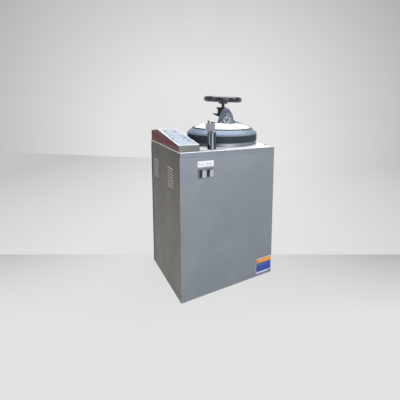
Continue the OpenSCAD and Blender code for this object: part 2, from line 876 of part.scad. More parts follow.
// A locking bar whose inner end is cut at 45 degrees to meet the cone
module locking_bar(a) {
    color("gainsboro") on_axis() rotate(a) rotate([90, 0, 0]) translate([0, 0, -bar_w / 2])
        linear_extrude(bar_w)
            polygon([[bar_in, bar_z], [bar_r, bar_z], [bar_r, bar_z + bar_h - 3], [bar_r - 3, bar_z + bar_h],
                [bar_in + bar_h, bar_z + bar_h]]);
}

module locking_bar_front_left() {
    locking_bar(bar_angles[0]);
}

module locking_bar_front_right() {
    locking_bar(bar_angles[1]);
}

module locking_bar_rear_right() {
    locking_bar(bar_angles[2]);
}

module locking_bar_rear_left() {
    locking_bar(bar_angles[3]);
}

// Screw with its thrust collar above the crosshead and a cap nut above the wheel
module screw_shaft() {
    low = bar_z + bar_h + 4;
    color("silver") on_axis() {
        translate([0, 0, low]) cylinder(r = shaft_r, h = hub_z + 26 - low);
        translate([0, 0, bar_z + bar_h + 32]) cylinder(r = 13, h = 5);
        translate([0, 0, hub_z + 24.2]) cylinder(r = 13, h = 7, $fn = 6);
        translate([0, 0, hub_z + 31]) cylinder(r1 = 9, r2 = 5, h = 3);
    }
}

module handwheel() {
    R = wheel_r - rim_t / 2;
    color("black") on_axis() difference() {
        union() {
            translate([0, 0, wheel_z]) rotate_extrude($fn = 96)
                translate([R, 0]) circle(r = rim_t / 2, $fn = 32);
            for (a = [0:72:288])
                rotate(a + 18) translate([12, -8, wheel_z - 6]) cube([R - 14, 16, 11]);
            translate([0, 0, hub_z]) cylinder(r = 23, h = 24);
            translate([0, 0, hub_z - 4]) cylinder(r = 26, h = 4 + eps);
        }
        translate([0, 0, hub_z - 10]) cylinder(r = shaft_r + 0.02, h = 60);
    }
}

frame();
base_plate();
front_panel();
left_panel();
right_panel();
rear_panel();
top_plate();
levelling_feet();
service_pocket();
vessel_shell();
vessel_flange();
insulation_jacket();
heating_element();
basket_rack();
lower_basket();
upper_basket();
vessel_sensors();
safety_valve();
safety_valve_lever();
drain_valve();
drain_valve_lever();
exhaust_valve();
pipework();
power_module();
cable_gland();
console_shell();
console_membrane();
display_window();
control_board();
key_start();
key_up();
key_down();
breaker_housing();
breaker_toggle_left();
breaker_toggle_right();
front_labels();
panel_screws();
hinge_bracket();
hinge_pin();
interlock_post();
interlock_block();
interlock_lever();
interlock_plunger();
interlock_button();
lid_plate();
lid_seal();
bar_guides();
lid_dome();
lid_bead();
ring_cover();
lid_bracket();
nut_yoke();
hinge_arm();
crosshead();
screw_shaft();
handwheel();
locking_bar_front_left();
locking_bar_front_right();
locking_bar_rear_right();
locking_bar_rear_left();
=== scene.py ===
"""Looks of the vertical autoclave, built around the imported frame. +X right, +Y back, +Z up.

Shapes are drawn in millimetres, and keep() turns each finished piece into metres.
The stage, the lights and the camera are in metres.
"""
import math

import bmesh
import bpy
from mathutils import Matrix, Vector


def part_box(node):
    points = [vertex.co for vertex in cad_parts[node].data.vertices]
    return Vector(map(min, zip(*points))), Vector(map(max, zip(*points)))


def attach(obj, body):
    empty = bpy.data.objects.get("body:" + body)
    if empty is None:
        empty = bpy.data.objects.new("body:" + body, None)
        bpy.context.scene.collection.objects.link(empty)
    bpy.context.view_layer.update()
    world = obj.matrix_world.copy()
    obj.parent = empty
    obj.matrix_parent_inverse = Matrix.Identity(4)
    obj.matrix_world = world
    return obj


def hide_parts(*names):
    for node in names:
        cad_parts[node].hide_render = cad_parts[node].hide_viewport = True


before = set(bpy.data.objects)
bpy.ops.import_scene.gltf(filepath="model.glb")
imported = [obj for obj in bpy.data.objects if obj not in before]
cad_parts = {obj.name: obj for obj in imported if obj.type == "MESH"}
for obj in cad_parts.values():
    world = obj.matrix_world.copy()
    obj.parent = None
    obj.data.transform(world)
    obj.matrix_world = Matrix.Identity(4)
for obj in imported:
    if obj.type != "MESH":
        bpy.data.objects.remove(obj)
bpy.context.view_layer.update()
scene = bpy.context.scene
MM = 0.001

# ---------------------------------------------------------------- places from the frame

def box(node):
    """The low and high corner of a CAD node, in millimetres."""
    return [[c / MM for c in corner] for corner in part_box(node)]


def middle(node):
    lo, hi = box(node)
    return (Vector(lo) + Vector(hi)) / 2


FRONT_LO, FRONT_HI = box("front_panel")
RING_LO, RING_HI = box("ring_cover")
SHELL_LO, SHELL_HI = box("console_shell")
WHEEL_LO, WHEEL_HI = box("handwheel")
HALF = FRONT_HI[0]
PANEL_LOW = FRONT_LO[2]
PANEL_TOP = FRONT_HI[2]
CAB_TOP = SHELL_LO[2]
AXIS = Vector(((RING_LO[0] + RING_HI[0]) / 2, (RING_LO[1] + RING_HI[1]) / 2, 0))
RING_R = (RING_HI[0] - RING_LO[0]) / 2
RING_Z0 = RING_LO[2]
RING_Z1 = RING_HI[2]
DOME_LO, DOME_HI = box("lid_dome")
DOME_R = (DOME_HI[0] - DOME_LO[0]) / 2
SHEET = 1.5


# ---------------------------------------------------------------- mesh helpers

def keep(name, mesh, mats, body, nodes=(), angle=35):
    """Links a mesh as a finished piece, in metres, that rides on a body and stands for CAD nodes."""
    mesh.transform(Matrix.Scale(MM, 4))
    bm = bmesh.new()
    bm.from_mesh(mesh)
    bmesh.ops.remove_doubles(bm, verts=bm.verts, dist=1e-6)
    bmesh.ops.dissolve_degenerate(bm, edges=bm.edges, dist=1e-7)
    bmesh.ops.recalc_face_normals(bm, faces=bm.faces)
    bm.to_mesh(mesh)
    bm.free()
    mesh.shade_smooth()
    mesh.set_sharp_from_angle(angle=math.radians(angle))
    for m in mats if isinstance(mats, (list, tuple)) else [mats]:
        if m.name not in mesh.materials:
            mesh.materials.append(m)
    obj = bpy.data.objects.new(name, mesh)
    scene.collection.objects.link(obj)
    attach(obj, body)
    if nodes:
        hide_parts(*nodes)
    return obj


def finished(bm):
    """The mesh that a bmesh holds; the bmesh is freed."""
    mesh = bpy.data.meshes.new("made")
    bm.to_mesh(mesh)
    bm.free()
    return mesh


def quads(rows, columns, wrap=False):
    """Faces between rows of points; wrap closes each row on itself."""
    faces = []
    for j in range(rows - 1):
        for i in range(columns if wrap else columns - 1):
            k = (i + 1) % columns
            faces.append([j * columns + i, j * columns + k, (j + 1) * columns + k, (j + 1) * columns + i])
    return faces


def raw(verts, faces, indices=None):
    mesh = bpy.data.meshes.new("raw")
    mesh.from_pydata([tuple(v) for v in verts], [], faces)
    if indices:
        mesh.polygons.foreach_set("material_index", indices)
    return mesh


def merge(*meshes):
    """One mesh made of several; each keeps its own material index."""
    bm = bmesh.new()
    for m in meshes:
        bm.from_mesh(m)
    return finished(bm)


def painted(mesh, index):
    """Sets one material index on a whole mesh."""
    mesh.polygons.foreach_set("material_index", [index] * len(mesh.polygons))
    return mesh


def layers(*groups):
    """One mesh of several groups; each group is painted with its own material index, from 0 up."""
    return merge(*[painted(mesh, index) for index, group in enumerate(groups) for mesh in group])


def moved(mesh, place):
    mesh.transform(place)
    return mesh


def polar(r, degrees):
    return r * math.cos(math.radians(degrees)), r * math.sin(math.radians(degrees))


def signed(value, power):
    """A power of the size of a value, with its sign kept."""
    return math.copysign(abs(value) ** power, value)


def lifted(profile, z):
    return [(r, z + dz) for r, dz in profile]


def fillet(points, radius, steps=5, closed=False):
    """A 2-D polyline with its corners rounded; radius is one number or one per point."""
    n = len(points)
    radii = radius if isinstance(radius, (list, tuple)) else [radius] * n
    out = []
    for i, p in enumerate(points):
        if radii[i] <= 0 or (not closed and i in (0, n - 1)):
            out.append(tuple(p))
            continue
        p = Vector(p)
        a = Vector(points[i - 1]) - p
        b = Vector(points[(i + 1) % n]) - p
        la, lb = a.length, b.length
        a.normalize()
        b.normalize()
        half = a.angle(b) / 2
        cut = min(radii[i] / math.tan(half), la * 0.49, lb * 0.49)
        r = cut * math.tan(half)
        centre = p + (a + b).normalized() * (r / math.sin(half))
        s = p + a * cut - centre
        e = p + b * cut - centre
        sweep = s.angle_signed(e)
        for k in range(steps + 1):
            t = -sweep * k / steps
            out.append((centre.x + s.x * math.cos(t) - s.y * math.sin(t),
                        centre.y + s.x * math.sin(t) + s.y * math.cos(t)))
    return out


def circle(x, y, r, n=48, squash=1.0):
    return [(x + r * squash * math.cos(2 * math.pi * i / n), y + r * math.sin(2 * math.pi * i / n))
            for i in range(n)]


def rect(x0, y0, x1, y1, r=0.0, steps=5):
    pts = [(x0, y0), (x1, y0), (x1, y1), (x0, y1)]
    return fillet(pts, r, steps, closed=True) if r else pts


def lathe(profile, centre=(0, 0), n=144, closed=False, index=None):
    """Turns a profile of (radius, z) points round a vertical axis."""
    verts, rings = [], []
    for r, z in profile:
        if r < 1e-7:
            rings.append([len(verts)] * n)
            verts.append((centre[0], centre[1], z))
        else:
            rings.append(list(range(len(verts), len(verts) + n)))
            verts += [(x, y, z) for x, y in circle(centre[0], centre[1], r, n)]
    faces, indices = [], []
    count = len(rings) if closed else len(rings) - 1
    for i in range(count):
        a, b = rings[i], rings[(i + 1) % len(rings)]
        for k in range(n):
            j = (k + 1) % n
            loop = []
            for v in (a[k], a[j], b[j], b[k]):
                if v not in loop:
                    loop.append(v)
            if len(loop) > 2:
                faces.append(loop)
                indices.append(index[i] if index else 0)
    return raw(verts, faces, indices)


def plate(loops, thickness, bevel=0.0, place=None, segments=2):
    """A flat plate in XY, from z = 0 up, whose first loop is its outline and whose others are holes."""
    curve = bpy.data.curves.new("plate", "CURVE")
    curve.dimensions = "2D"
    curve.fill_mode = "BOTH"
    curve.extrude = thickness / 2 - bevel
    curve.bevel_depth = bevel
    curve.bevel_resolution = segments
    curve.offset = -bevel
    for loop in loops:
        spline = curve.splines.new("POLY")
        spline.points.add(len(loop) - 1)
        for point, (x, y) in zip(spline.points, loop):
            point.co = (x, y, 0, 1)
        spline.use_cyclic_u = True
    temp = bpy.data.objects.new("plate", curve)
    scene.collection.objects.link(temp)
    mesh = bpy.data.meshes.new_from_object(temp.evaluated_get(bpy.context.evaluated_depsgraph_get()))
    bpy.data.objects.remove(temp)
    bpy.data.curves.remove(curve)
    mesh.materials.clear()
    mesh.transform(Matrix.Translation((0, 0, thickness / 2)))
    if place is not None:
        mesh.transform(place)
    return mesh


def block(lo, hi, bevel=1.0, segments=2, place=None):
    """A box between two corners with rounded edges."""
    lo, hi = Vector(lo), Vector(hi)
    bm = bmesh.new()
    bmesh.ops.create_cube(bm, size=1)
    for v in bm.verts:
        v.co = Vector([lo[i] + (v.co[i] + 0.5) * (hi[i] - lo[i]) for i in range(3)])
    if bevel:
        bmesh.ops.bevel(bm, geom=bm.edges[:], offset=bevel, segments=segments, affect="EDGES", profile=0.5)
    mesh = finished(bm)
    if place is not None:
        mesh.transform(place)
    return mesh


def tube(points, r, n=12):
    """A round bar along a list of points."""
    pts = [Vector(p) for p in points]
    last = len(pts) - 1
    verts = []
    up = (pts[1] - pts[0]).orthogonal().normalized()
    for i, p in enumerate(pts):
        d = (pts[min(i + 1, last)] - pts[max(i - 1, 0)]).normalized()
        up = (up - d * up.dot(d)).normalized()
        side = d.cross(up)
        verts += [p + up * x + side * y for x, y in circle(0, 0, r, n)]
    ends = [list(range(n)), [last * n + k for k in range(n)]]
    return raw(verts, quads(len(pts), n, True) + ends)


def hex_nut(r, h):
    """A hexagon nut or bolt head, standing on z = 0, with rounded corners."""
    return plate([fillet(circle(0, 0, r, 6), r * 0.12, 3, closed=True)], h, min(h, r) * 0.1)


FACE_FRONT = Matrix(((1, 0, 0, 0), (0, 0, -1, 0), (0, 1, 0, 0), (0, 0, 0, 1)))


def at(x, y, z):
    return Matrix.Translation((x, y, z))


def turned(degrees, axis):
    return Matrix.Rotation(math.radians(degrees), 4, axis)


# ---------------------------------------------------------------- materials

class Shader:
    """A small helper that adds nodes to one material."""

    def __init__(self, name, base, metallic=0.0, rough=0.5, **sockets):
        self.mat = bpy.data.materials.new(name)
        self.mat.use_nodes = True
        self.tree = self.mat.node_tree
        self.shader = self.tree.nodes["Principled BSDF"]
        self.base = base
        self.set("Base Color", (*base, 1))
        self.set("Metallic", metallic)
        self.set("Roughness", rough)
        for key, value in sockets.items():
            self.set(key.replace("_", " "), value)
        self.coord = self.node("TexCoord").outputs["Object"]

    def set(self, socket, value):
        self.shader.inputs[socket].default_value = value

    def link(self, a, b):
        self.tree.links.new(a, b)

    def node(self, kind, **sockets):
        made = self.tree.nodes.new("ShaderNode" + kind)
        for key, value in sockets.items():
            made.inputs[key.replace("_", " ")].default_value = value
        return made

    def noise(self, scale, detail=3.0, rough=0.5, distort=0.0):
        """Noise of the object's own coordinates; scale is one number or three, in 1/m."""
        mapping = self.node("Mapping", Scale=scale if isinstance(scale, tuple) else (scale,) * 3)
        node = self.node("TexNoise", Scale=1.0, Detail=detail, Roughness=rough, Distortion=distort)
        self.link(self.coord, mapping.inputs["Vector"])
        self.link(mapping.outputs["Vector"], node.inputs["Vector"])
        return node.outputs["Fac"]

    def ramp(self, factor, low, high, a=0.3, b=0.7):
        """Maps a factor from a..b to low..high; low and high are numbers or colours."""
        if isinstance(low, (int, float)):
            node = self.node("MapRange", From_Min=a, From_Max=b, To_Min=low, To_Max=high)
            self.link(factor, node.inputs["Value"])
            return node.outputs["Result"]
        node = self.node("ValToRGB")
        stops = node.color_ramp.elements
        stops[0].position, stops[1].position = a, b
        stops[0].color, stops[1].color = (*low, 1), (*high, 1)
        self.link(factor, node.inputs["Fac"])
        return node.outputs["Color"]

    def mix(self, a, b, factor):
        """Multiplies one colour by another, by a share."""
        node = self.node("Mix")
        node.data_type = "RGBA"
        node.blend_type = "MULTIPLY"
        node.inputs["Factor"].default_value = factor
        self.link(a, node.inputs["A"])
        self.link(b, node.inputs["B"])
        return node.outputs["Result"]

    def math(self, operation, a, b):
        """One arithmetic node; a and b are outputs or numbers."""
        node = self.node("Math")
        node.operation = operation
        for socket, value in zip(node.inputs, (a, b)):
            if isinstance(value, (int, float)):
                socket.default_value = value
            else:
                self.link(value, socket)
        return node.outputs["Value"]

    def dot(self, direction):
        """How far a point of the object lies along a direction."""
        node = self.node("VectorMath")
        node.operation = "DOT_PRODUCT"
        node.inputs[1].default_value = direction
        self.link(self.coord, node.inputs[0])
        return node.outputs["Value"]

    def colour(self, output):
        self.link(output, self.shader.inputs["Base Color"])

    def roughness(self, output):
        self.link(output, self.shader.inputs["Roughness"])

    def bump(self, height, strength, distance):
        node = self.node("Bump", Strength=strength, Distance=distance)
        self.link(height, node.inputs["Height"])
        self.link(node.outputs["Normal"], self.shader.inputs["Normal"])


def shade(colour, k):
    return tuple(min(1.0, c * k) for c in colour)


def brushed(name, base, rough=0.34, grain="z", metallic=0.9, cloud=0.08, streak=0.10, low=1.0):
    """Brushed sheet metal: streaks along one axis, faint clouds, and a tone that falls to low at the foot,
    which is painted shade.
    """
    s = Shader(name, base, metallic, rough, Anisotropic=0.5)
    long, fine, wide = 2.5, 1900.0, 260.0
    hair = s.noise(tuple(long if a == grain else fine for a in "xyz"), 2, 0.6)
    band = s.noise(tuple(long if a == grain else wide for a in "xyz"), 3, 0.6)
    clouds = s.noise(6.5, 4, 0.55, 0.6)
    tint = s.ramp(band, shade(base, 1 - streak), shade(base, 1 + streak * 0.7))
    hairs = s.ramp(hair, (1 - streak,) * 3, (1.0,) * 3, 0.25, 0.75)
    cloudy = s.ramp(clouds, (1 - cloud * 2,) * 3, (1.0, 1.0, 1.0), 0.3, 0.7)
    tone = s.mix(s.mix(tint, hairs, 0.6), cloudy, 1.0)
    # Painted shade: the tone darkens from the panel's top down to its foot.
    if low < 1.0:
        height = s.math("MULTIPLY", s.dot((0, 0, 1)), 1 / (PANEL_TOP * MM))
        tone = s.mix(tone, s.ramp(height, (low,) * 3, (1.0,) * 3, 0.0, 1.0), 1.0)
    s.colour(tone)
    s.roughness(s.ramp(band, rough - 0.05, rough + 0.07))
    s.bump(hair, 0.12, 0.00008)
    return s.mat


def polished(name, base, rough=0.12, smear=0.05, metallic=1.0):
    """Polished metal with faint wipe marks."""
    s = Shader(name, base, metallic, rough)
    wipe = s.noise((30, 30, 30), 4, 0.6, 1.5)
    fine = s.noise(900, 2)
    s.colour(s.ramp(wipe, shade(base, 0.94), shade(base, 1.03)))
    s.roughness(s.ramp(wipe, rough, rough + smear))
    s.bump(fine, 0.03, 0.00005)
    return s.mat


def plastic(name, base, rough=0.4, grain=0.1, scale=1600, coat=0.0, vary=0.06):
    """Moulded plastic with a fine grain and slight colour variation."""
    s = Shader(name, base, 0.0, rough, Coat_Weight=coat)
    fine = s.noise(scale, 2)
    broad = s.noise(28, 3, 0.5, 0.4)
    s.colour(s.ramp(broad, shade(base, 1 - vary), shade(base, 1 + vary)))
    s.roughness(s.ramp(broad, rough - 0.04, rough + 0.06))
    s.bump(fine, grain, 0.00012)
    return s.mat


def casting(name, base, metallic, rough, grain=0.35, scale=420, vary=0.18):
    """Sand-cast metal: pitted, mottled and a little polished."""
    s = Shader(name, base, metallic, rough)
    pits = s.noise(scale, 5, 0.65)
    mottled = s.noise(55, 4, 0.6, 0.5)
    s.colour(s.ramp(mottled, shade(base, 1 - vary), shade(base, 1 + vary)))
    s.roughness(s.ramp(pits, rough - 0.08, rough + 0.12))
    s.bump(pits, grain, 0.0006)
    return s.mat


def paint(name, base, rough=0.3, metallic=0.0, coat=0.3, peel=0.15):
    """Sprayed paint with orange peel and faint dust."""
    s = Shader(name, base, metallic, rough, Coat_Weight=coat, Coat_Roughness=0.12)
    orange = s.noise(520, 3, 0.5)
    dust = s.noise(35, 4, 0.6, 0.8)
    s.colour(s.ramp(dust, shade(base, 0.96), shade(base, 1.04)))
    s.roughness(s.ramp(dust, rough - 0.03, rough + 0.05))
    s.bump(orange, peel, 0.0003)
    return s.mat


FRONT_STEEL = brushed("brushed_front", (0.376, 0.413, 0.46), 0.44, "x", cloud=0.05, streak=0.03, low=0.83)
# Painted shade: the left side, and the left returns of the front and rear sheets, are darker copies of the
# sheet steel; the rear return is near-black.
SIDE_STEEL = brushed("brushed_side", (0.188, 0.175, 0.152), 0.38, "z", cloud=0.16, streak=0.05)
WARM_STEEL = brushed("brushed_return", (0.20, 0.155, 0.125), 0.36, "z", cloud=0.12, streak=0.05)
DARK_RETURN = brushed("brushed_shaded", (0.05, 0.046, 0.041), 0.55, "z", cloud=0.12, streak=0.05)
# Painted highlight: a bright steel for the upper part of each louvre.
LOUVRE_HIGHLIGHT = brushed("louvre_painted_highlight", (0.70, 0.67, 0.64), 0.4, "y", 0.6, cloud=0.05, streak=0.03)
RIGHT_STEEL = brushed("brushed_right", (0.40, 0.43, 0.47), 0.36, "z")
# Painted highlight: the top of the cabinet is a bright copy of the sheet steel.
TOP_STEEL = brushed("brushed_top", (0.96, 0.965, 0.98), 0.4, "x", 0.45, cloud=0.02, streak=0.02)
SKIRT_STEEL = brushed("brushed_skirt", (0.37, 0.41, 0.47), 0.33, "x", cloud=0.05)
CONSOLE_STEEL = brushed("brushed_console", (0.21, 0.215, 0.205), 0.34, "y", cloud=0.10, streak=0.05)
# Painted shade: the console's left face is a darker, red-brown copy of the console steel.
CONSOLE_SIDE = brushed("brushed_console_side", (0.19, 0.016, 0.02), 0.4, "y", 0.6, cloud=0.2, streak=0.08)
COLLAR_STEEL = brushed("brushed_collar", (0.335, 0.35, 0.39), 0.38, "z", cloud=0.10, streak=0.02)
POST_STEEL = polished("polished_post", (0.175, 0.205, 0.225), 0.1, 0.05)
VESSEL_STEEL = brushed("satin_vessel", (0.62, 0.63, 0.65), 0.25, "z", cloud=0.06)
PLATE_STEEL = brushed("satin_plate", (0.60, 0.61, 0.63), 0.28, "x", cloud=0.05)
BRIGHT = polished("bright_steel", (0.66, 0.67, 0.69), 0.16)
ZINC = casting("zinc_plated", (0.55, 0.56, 0.57), 0.9, 0.38, 0.08, 900, 0.06)
DOME = polished("dome_polished", (1.0, 1.0, 0.995), 0.4, 0.05, 0.0)
# Lit and shaded copies of the ring's finish: the bevel in the lit tone, the skirt and the band by the bead
# in near-black painted shade and dark reflection.
RING_TOP = paint("ring_metallic", (0.19, 0.235, 0.30), 0.5, 0.35, 0.12, 0.02)
RING_SHADE = paint("ring_painted_shade", (0.015, 0.026, 0.036), 0.6, 0.0, 0.02, 0.05)
CAST = casting("cast_aluminium", (0.175, 0.205, 0.255), 0.8, 0.42, 0.5, 380, 0.4)
# A light copy of the casting: painted highlight on the brow and lip bars round the boss; the foot ring and
# the rims of the boss and its wells are drawn in it too.
CAST_BRIGHT = casting("cast_light_and_highlight", (0.78, 0.80, 0.84), 0.9, 0.24, 0.1, 900, 0.05)
BLACK_IRON = casting("black_casting", (0.018, 0.018, 0.026), 0.2, 0.33, 0.3, 420, 0.2)
WHEEL_BLACK = plastic("wheel_phenolic", (0.002, 0.004, 0.010), 0.24, 0.02, 700, 0.55)
WHEEL_BLACK.node_tree.nodes["Principled BSDF"].inputs["Coat IOR"].default_value = 1.62
BLACK = plastic("black_moulding", (0.015, 0.015, 0.017), 0.38, 0.15)
RUBBER = plastic("black_rubber", (0.02, 0.02, 0.02), 0.62, 0.3, 900)
SEAL = plastic("silicone", (0.62, 0.22, 0.10), 0.5, 0.1)
BLOCK_GREY = casting("blasted_block", (0.36, 0.375, 0.41), 0.6, 0.48, 0.3, 1500, 0.06)
BREAKER_GREY = plastic("breaker_grey", (0.46, 0.49, 0.53), 0.4, 0.1)
WHITE_EDGE = plastic("overlay_edge", (0.78, 0.81, 0.84), 0.4, 0.04, 1200, 0.0, 0.02)
OVERLAY = plastic("overlay_print", (0.37, 0.41, 0.49), 0.45, 0.06, 1400, 0.0, 0.05)
OVERLAY_GREY = plastic("overlay_field", (0.24, 0.29, 0.34), 0.45, 0.06, 1400, 0.0, 0.05)
KEY = plastic("key_cyan", (0.39, 0.48, 0.54), 0.4, 0.05, 1400, 0.1, 0.04)
KEY_RING = plastic("key_outline", (0.13, 0.25, 0.29), 0.4, 0.05)
LCD = plastic("display_panel", (0.62, 0.74, 0.82), 0.12, 0.02, 1600, 0.8, 0.05)
DISPLAY_DARK = plastic("display_frame", (0.03, 0.04, 0.06), 0.2, 0.03, 1600, 0.5)
PAPER = plastic("label_paper", (0.92, 0.93, 0.95), 0.42, 0.05, 2200, 0.0, 0.02)
PRINT_GREY = plastic("label_print", (0.50, 0.52, 0.58), 0.5, 0.05)
ORANGE = plastic("label_orange", (0.80, 0.34, 0.03), 0.35, 0.04, 2000, 0.2, 0.10)
BLUE = plastic("label_blue", (0.022, 0.06, 0.36), 0.35, 0.04, 2000, 0.2, 0.22)
BRASS = polished("brass", (0.62, 0.42, 0.16), 0.25, 0.1)
COPPER = polished("copper", (0.60, 0.30, 0.18), 0.28, 0.12)
RED = paint("red_paint", (0.50, 0.02, 0.015), 0.32)
WOOL = plastic("glass_wool", (0.62, 0.50, 0.25), 0.9, 0.8, 260, 0.0, 0.2)
BOARD = plastic("board_green", (0.02, 0.14, 0.05), 0.35, 0.05)
HEATER = casting("heater_sheath", (0.20, 0.18, 0.17), 0.8, 0.45, 0.1, 900, 0.15)
# Near-black: painted shade behind the louvre slots, in the breaker's gap, slots and screw holes and in the
# casting's wells; the top plug is drawn in it too.
SHADE_BLACK = plastic("black_and_recess_shade", (0.01, 0.01, 0.012), 0.6, 0.1)
FRAME_PAINT = paint("frame_coat", (0.10, 0.10, 0.11), 0.45, 0.0, 0.1)
BASE_STEEL = brushed("base_sheet", (0.42, 0.43, 0.45), 0.4, "x")
POCKET_STEEL = brushed("pocket_sheet", (0.55, 0.56, 0.58), 0.3, "x")
PALE_BLUE = plastic("label_pale", (0.35, 0.50, 0.80), 0.4, 0.04)
DEEP_ORANGE = plastic("label_deep_orange", (0.62, 0.13, 0.02), 0.4, 0.04)
TEAL = plastic("label_teal", (0.03, 0.14, 0.34), 0.4, 0.04)
SEAM_GREY = plastic("seam_shadow", (0.075, 0.085, 0.075), 0.6, 0.1)
DARK_IRON = polished("oiled_screw", (0.09, 0.09, 0.10), 0.3, 0.08, 0.9)

# ---------------------------------------------------------------- casing

def skin(verts, faces, thickness):
    """An open surface made into sheet of a thickness, on the side away from its normals."""
    bm = bmesh.new()
    made = [bm.verts.new(v) for v in verts]
    for f in faces:
        bm.faces.new([made[i] for i in f])
    bmesh.ops.remove_doubles(bm, verts=bm.verts, dist=1e-3)
    if thickness:
        bmesh.ops.solidify(bm, geom=bm.faces[:], thickness=thickness)
    return finished(bm)


def grid_face(xs, zs, holes, y=0):
    """Quads over a grid of x and z lines, without the cells whose middle lies in a hole."""
    verts = [(x, y, z) for z in zs for x in xs]
    faces = []
    for j in range(len(zs) - 1):
        for i in range(len(xs) - 1):
            mx = (xs[i] + xs[i + 1]) / 2
            mz = (zs[j] + zs[j + 1]) / 2
            if not any(a < mx < b and c < mz < d for a, b, c, d in holes):
                k = j * len(xs) + i
                faces.append([k, k + 1, k + 1 + len(xs), k + len(xs)])
    return verts, faces


def join(*parts):
    """Several (verts, faces) as one."""
    verts, faces = [], []
    for v, f in parts:
        n = len(verts)
        verts += v
        faces += [[i + n for i in loop] for loop in f]
    return verts, faces


RETURN = 22
BEND = 2.5


def folded_face(holes):
    """A face towards -Y with rounded vertical corners and returns along both sides."""
    xs = sorted({-HALF + BEND, HALF - BEND} | {v for h in holes for v in h[:2]})
    zs = sorted({PANEL_LOW, PANEL_TOP} | {v for h in holes for v in h[2:]})
    parts = [grid_face(xs, zs, holes, -HALF)]
    for side in (-1, 1):
        path = [(side * (HALF - BEND), -HALF)]
        for k in range(1, 7):
            t = math.radians(15 * k)
            path.append((side * (HALF - BEND + BEND * math.sin(t)), -HALF + BEND - BEND * math.cos(t)))
        path.append((side * HALF, -HALF + RETURN))
        verts = [(x, y, z) for z in zs for x, y in path]
        parts.append((verts, [quad[::side] for quad in quads(len(zs), len(path))]))
    return join(*parts)


def hood(y0, length, z0, height, rise, side):
    """One pressed louvre on a panel facing X: tangent at its top and ends, open along its lower edge."""
    nu, nv = 26, 7
    verts = []
    for j in range(nv + 1):
        v = j / nv
        for i in range(nu + 1):
            u = 0.5 - 0.5 * math.cos(math.pi * i / nu)
            end = min(u, 1 - u) * length / 7
            g = math.sin(min(end, 1) * math.pi / 2) ** 0.8
            h = rise * g * math.cos(v * math.pi / 2) ** 1.3
            verts.append((side * (HALF + h), y0 + u * length, z0 + v * height))
    return verts, quads(nv + 1, nu + 1)


LOUVRE_COLUMNS = ((-162, 95), (98, 95))
LOUVRE_Z = 551
LOUVRE_PITCH = 13.6
LOUVRE_COUNT = 8
LOUVRE_H = 6.6
LOUVRE_SLOT = 4.4


def side_sheet(side):
    y_end = HALF - RETURN - 0.9
    rows = [LOUVRE_Z + LOUVRE_PITCH * i for i in range(LOUVRE_COUNT)]
    hood_at = [(y, y + width, z) for y, width in LOUVRE_COLUMNS for z in rows]
    holes = [(y0, y1, z - LOUVRE_SLOT, z + LOUVRE_H) for y0, y1, z in hood_at]
    ys = sorted({-y_end, y_end} | {v for h in holes for v in h[:2]})
    zs = sorted({PANEL_LOW, PANEL_TOP} | {v for h in holes for v in h[2:]})
    verts, faces = grid_face(ys, zs, holes)
    flat = skin([(side * HALF, y, z) for y, _, z in verts], faces, 0)
    hoods = []
    for y0, y1, z in hood_at:
        pressed = skin(*hood(y0, y1 - y0, z, LOUVRE_H, 2.9, side), 0)
        # Painted highlight: the upper part of each louvre is in a bright steel, the rest in the panel's
        # steel.
        for face_ in pressed.polygons:
            face_.material_index = 2 if face_.center.z > z + LOUVRE_H * 0.38 else 0
        hoods.append(pressed)
    # Painted shade: a near-black plate behind the louvre slots.
    back = block((side * (HALF - 6) - 1, -200, 520), (side * (HALF - 6) + 1, 200, 680), 0)
    return merge(flat, *hoods, painted(back, 1))


def even(obj):
    """Lets the large flat faces set the shading next to bends and bevels."""
    mod = obj.modifiers.new("even", "WEIGHTED_NORMAL")
    mod.keep_sharp = True
    mod.weight = 80
    return obj


BREAKER = (-133, 641.5)
breaker_hole = (BREAKER[0] - 39.7, BREAKER[0] + 39.7, BREAKER[1] - 23.5, BREAKER[1] + 23.5)
front_mesh = skin(*folded_face([breaker_hole]), 0)
# Painted shade: the front sheet's return on the left side is in the darker return steel.
for face_ in front_mesh.polygons:
    on_left = face_.center.x < -HALF + 1 and abs(face_.normal.x) > 0.8
    face_.material_index = 1 if face_.normal.x < -0.8 or on_left else 0
even(keep("front_sheet", front_mesh, [FRONT_STEEL, WARM_STEEL], "cabinet", ("front_panel",),
          50))

pocket = (-220, -40, 60, 170)
vents = [(60 + 24 * i, 68 + 24 * i, 90, 150) for i in range(6)]
back_holes = [(-b, -a, c, d) for a, b, c, d in [pocket] + vents]
back_verts, back_faces = folded_face(back_holes)
back_mesh = skin([(-x, -y, z) for x, y, z in back_verts], back_faces, 0)
# Painted shade: the rear sheet's return on the left side is near-black.
for face_ in back_mesh.polygons:
    face_.material_index = 1 if face_.center.x < -HALF + 1 and abs(face_.normal.x) > 0.5 else 0
even(keep("rear_sheet", back_mesh, [RIGHT_STEEL, DARK_RETURN], "cabinet", ("rear_panel",),
          50))

# Painted shade: the left sheet is in the darker side steel, the right sheet in the lit steel.
for name, side, steel, node in (("left_sheet", -1, SIDE_STEEL, "left_panel"),
                                ("right_sheet", 1, RIGHT_STEEL, "right_panel")):
    sheet = keep(name, side_sheet(side), [steel, SHADE_BLACK, LOUVRE_HIGHLIGHT], "cabinet", (node,),
                 50)
    for face_ in sheet.data.polygons:
        if abs(face_.normal.x) > 0.99999:
            face_.use_smooth = False


def rounded_loop(inset, corner, z):
    """A rounded square round the cabinet, at a height."""
    h = HALF - inset
    return [(x, y, z) for x, y in rect(-h, -h, h, h, max(corner - inset, 0.2), 6)]


def loft(loops):
    """Quads between closed loops of equal length."""
    return [point for loop in loops for point in loop], quads(len(loops), len(loops[0]), True)


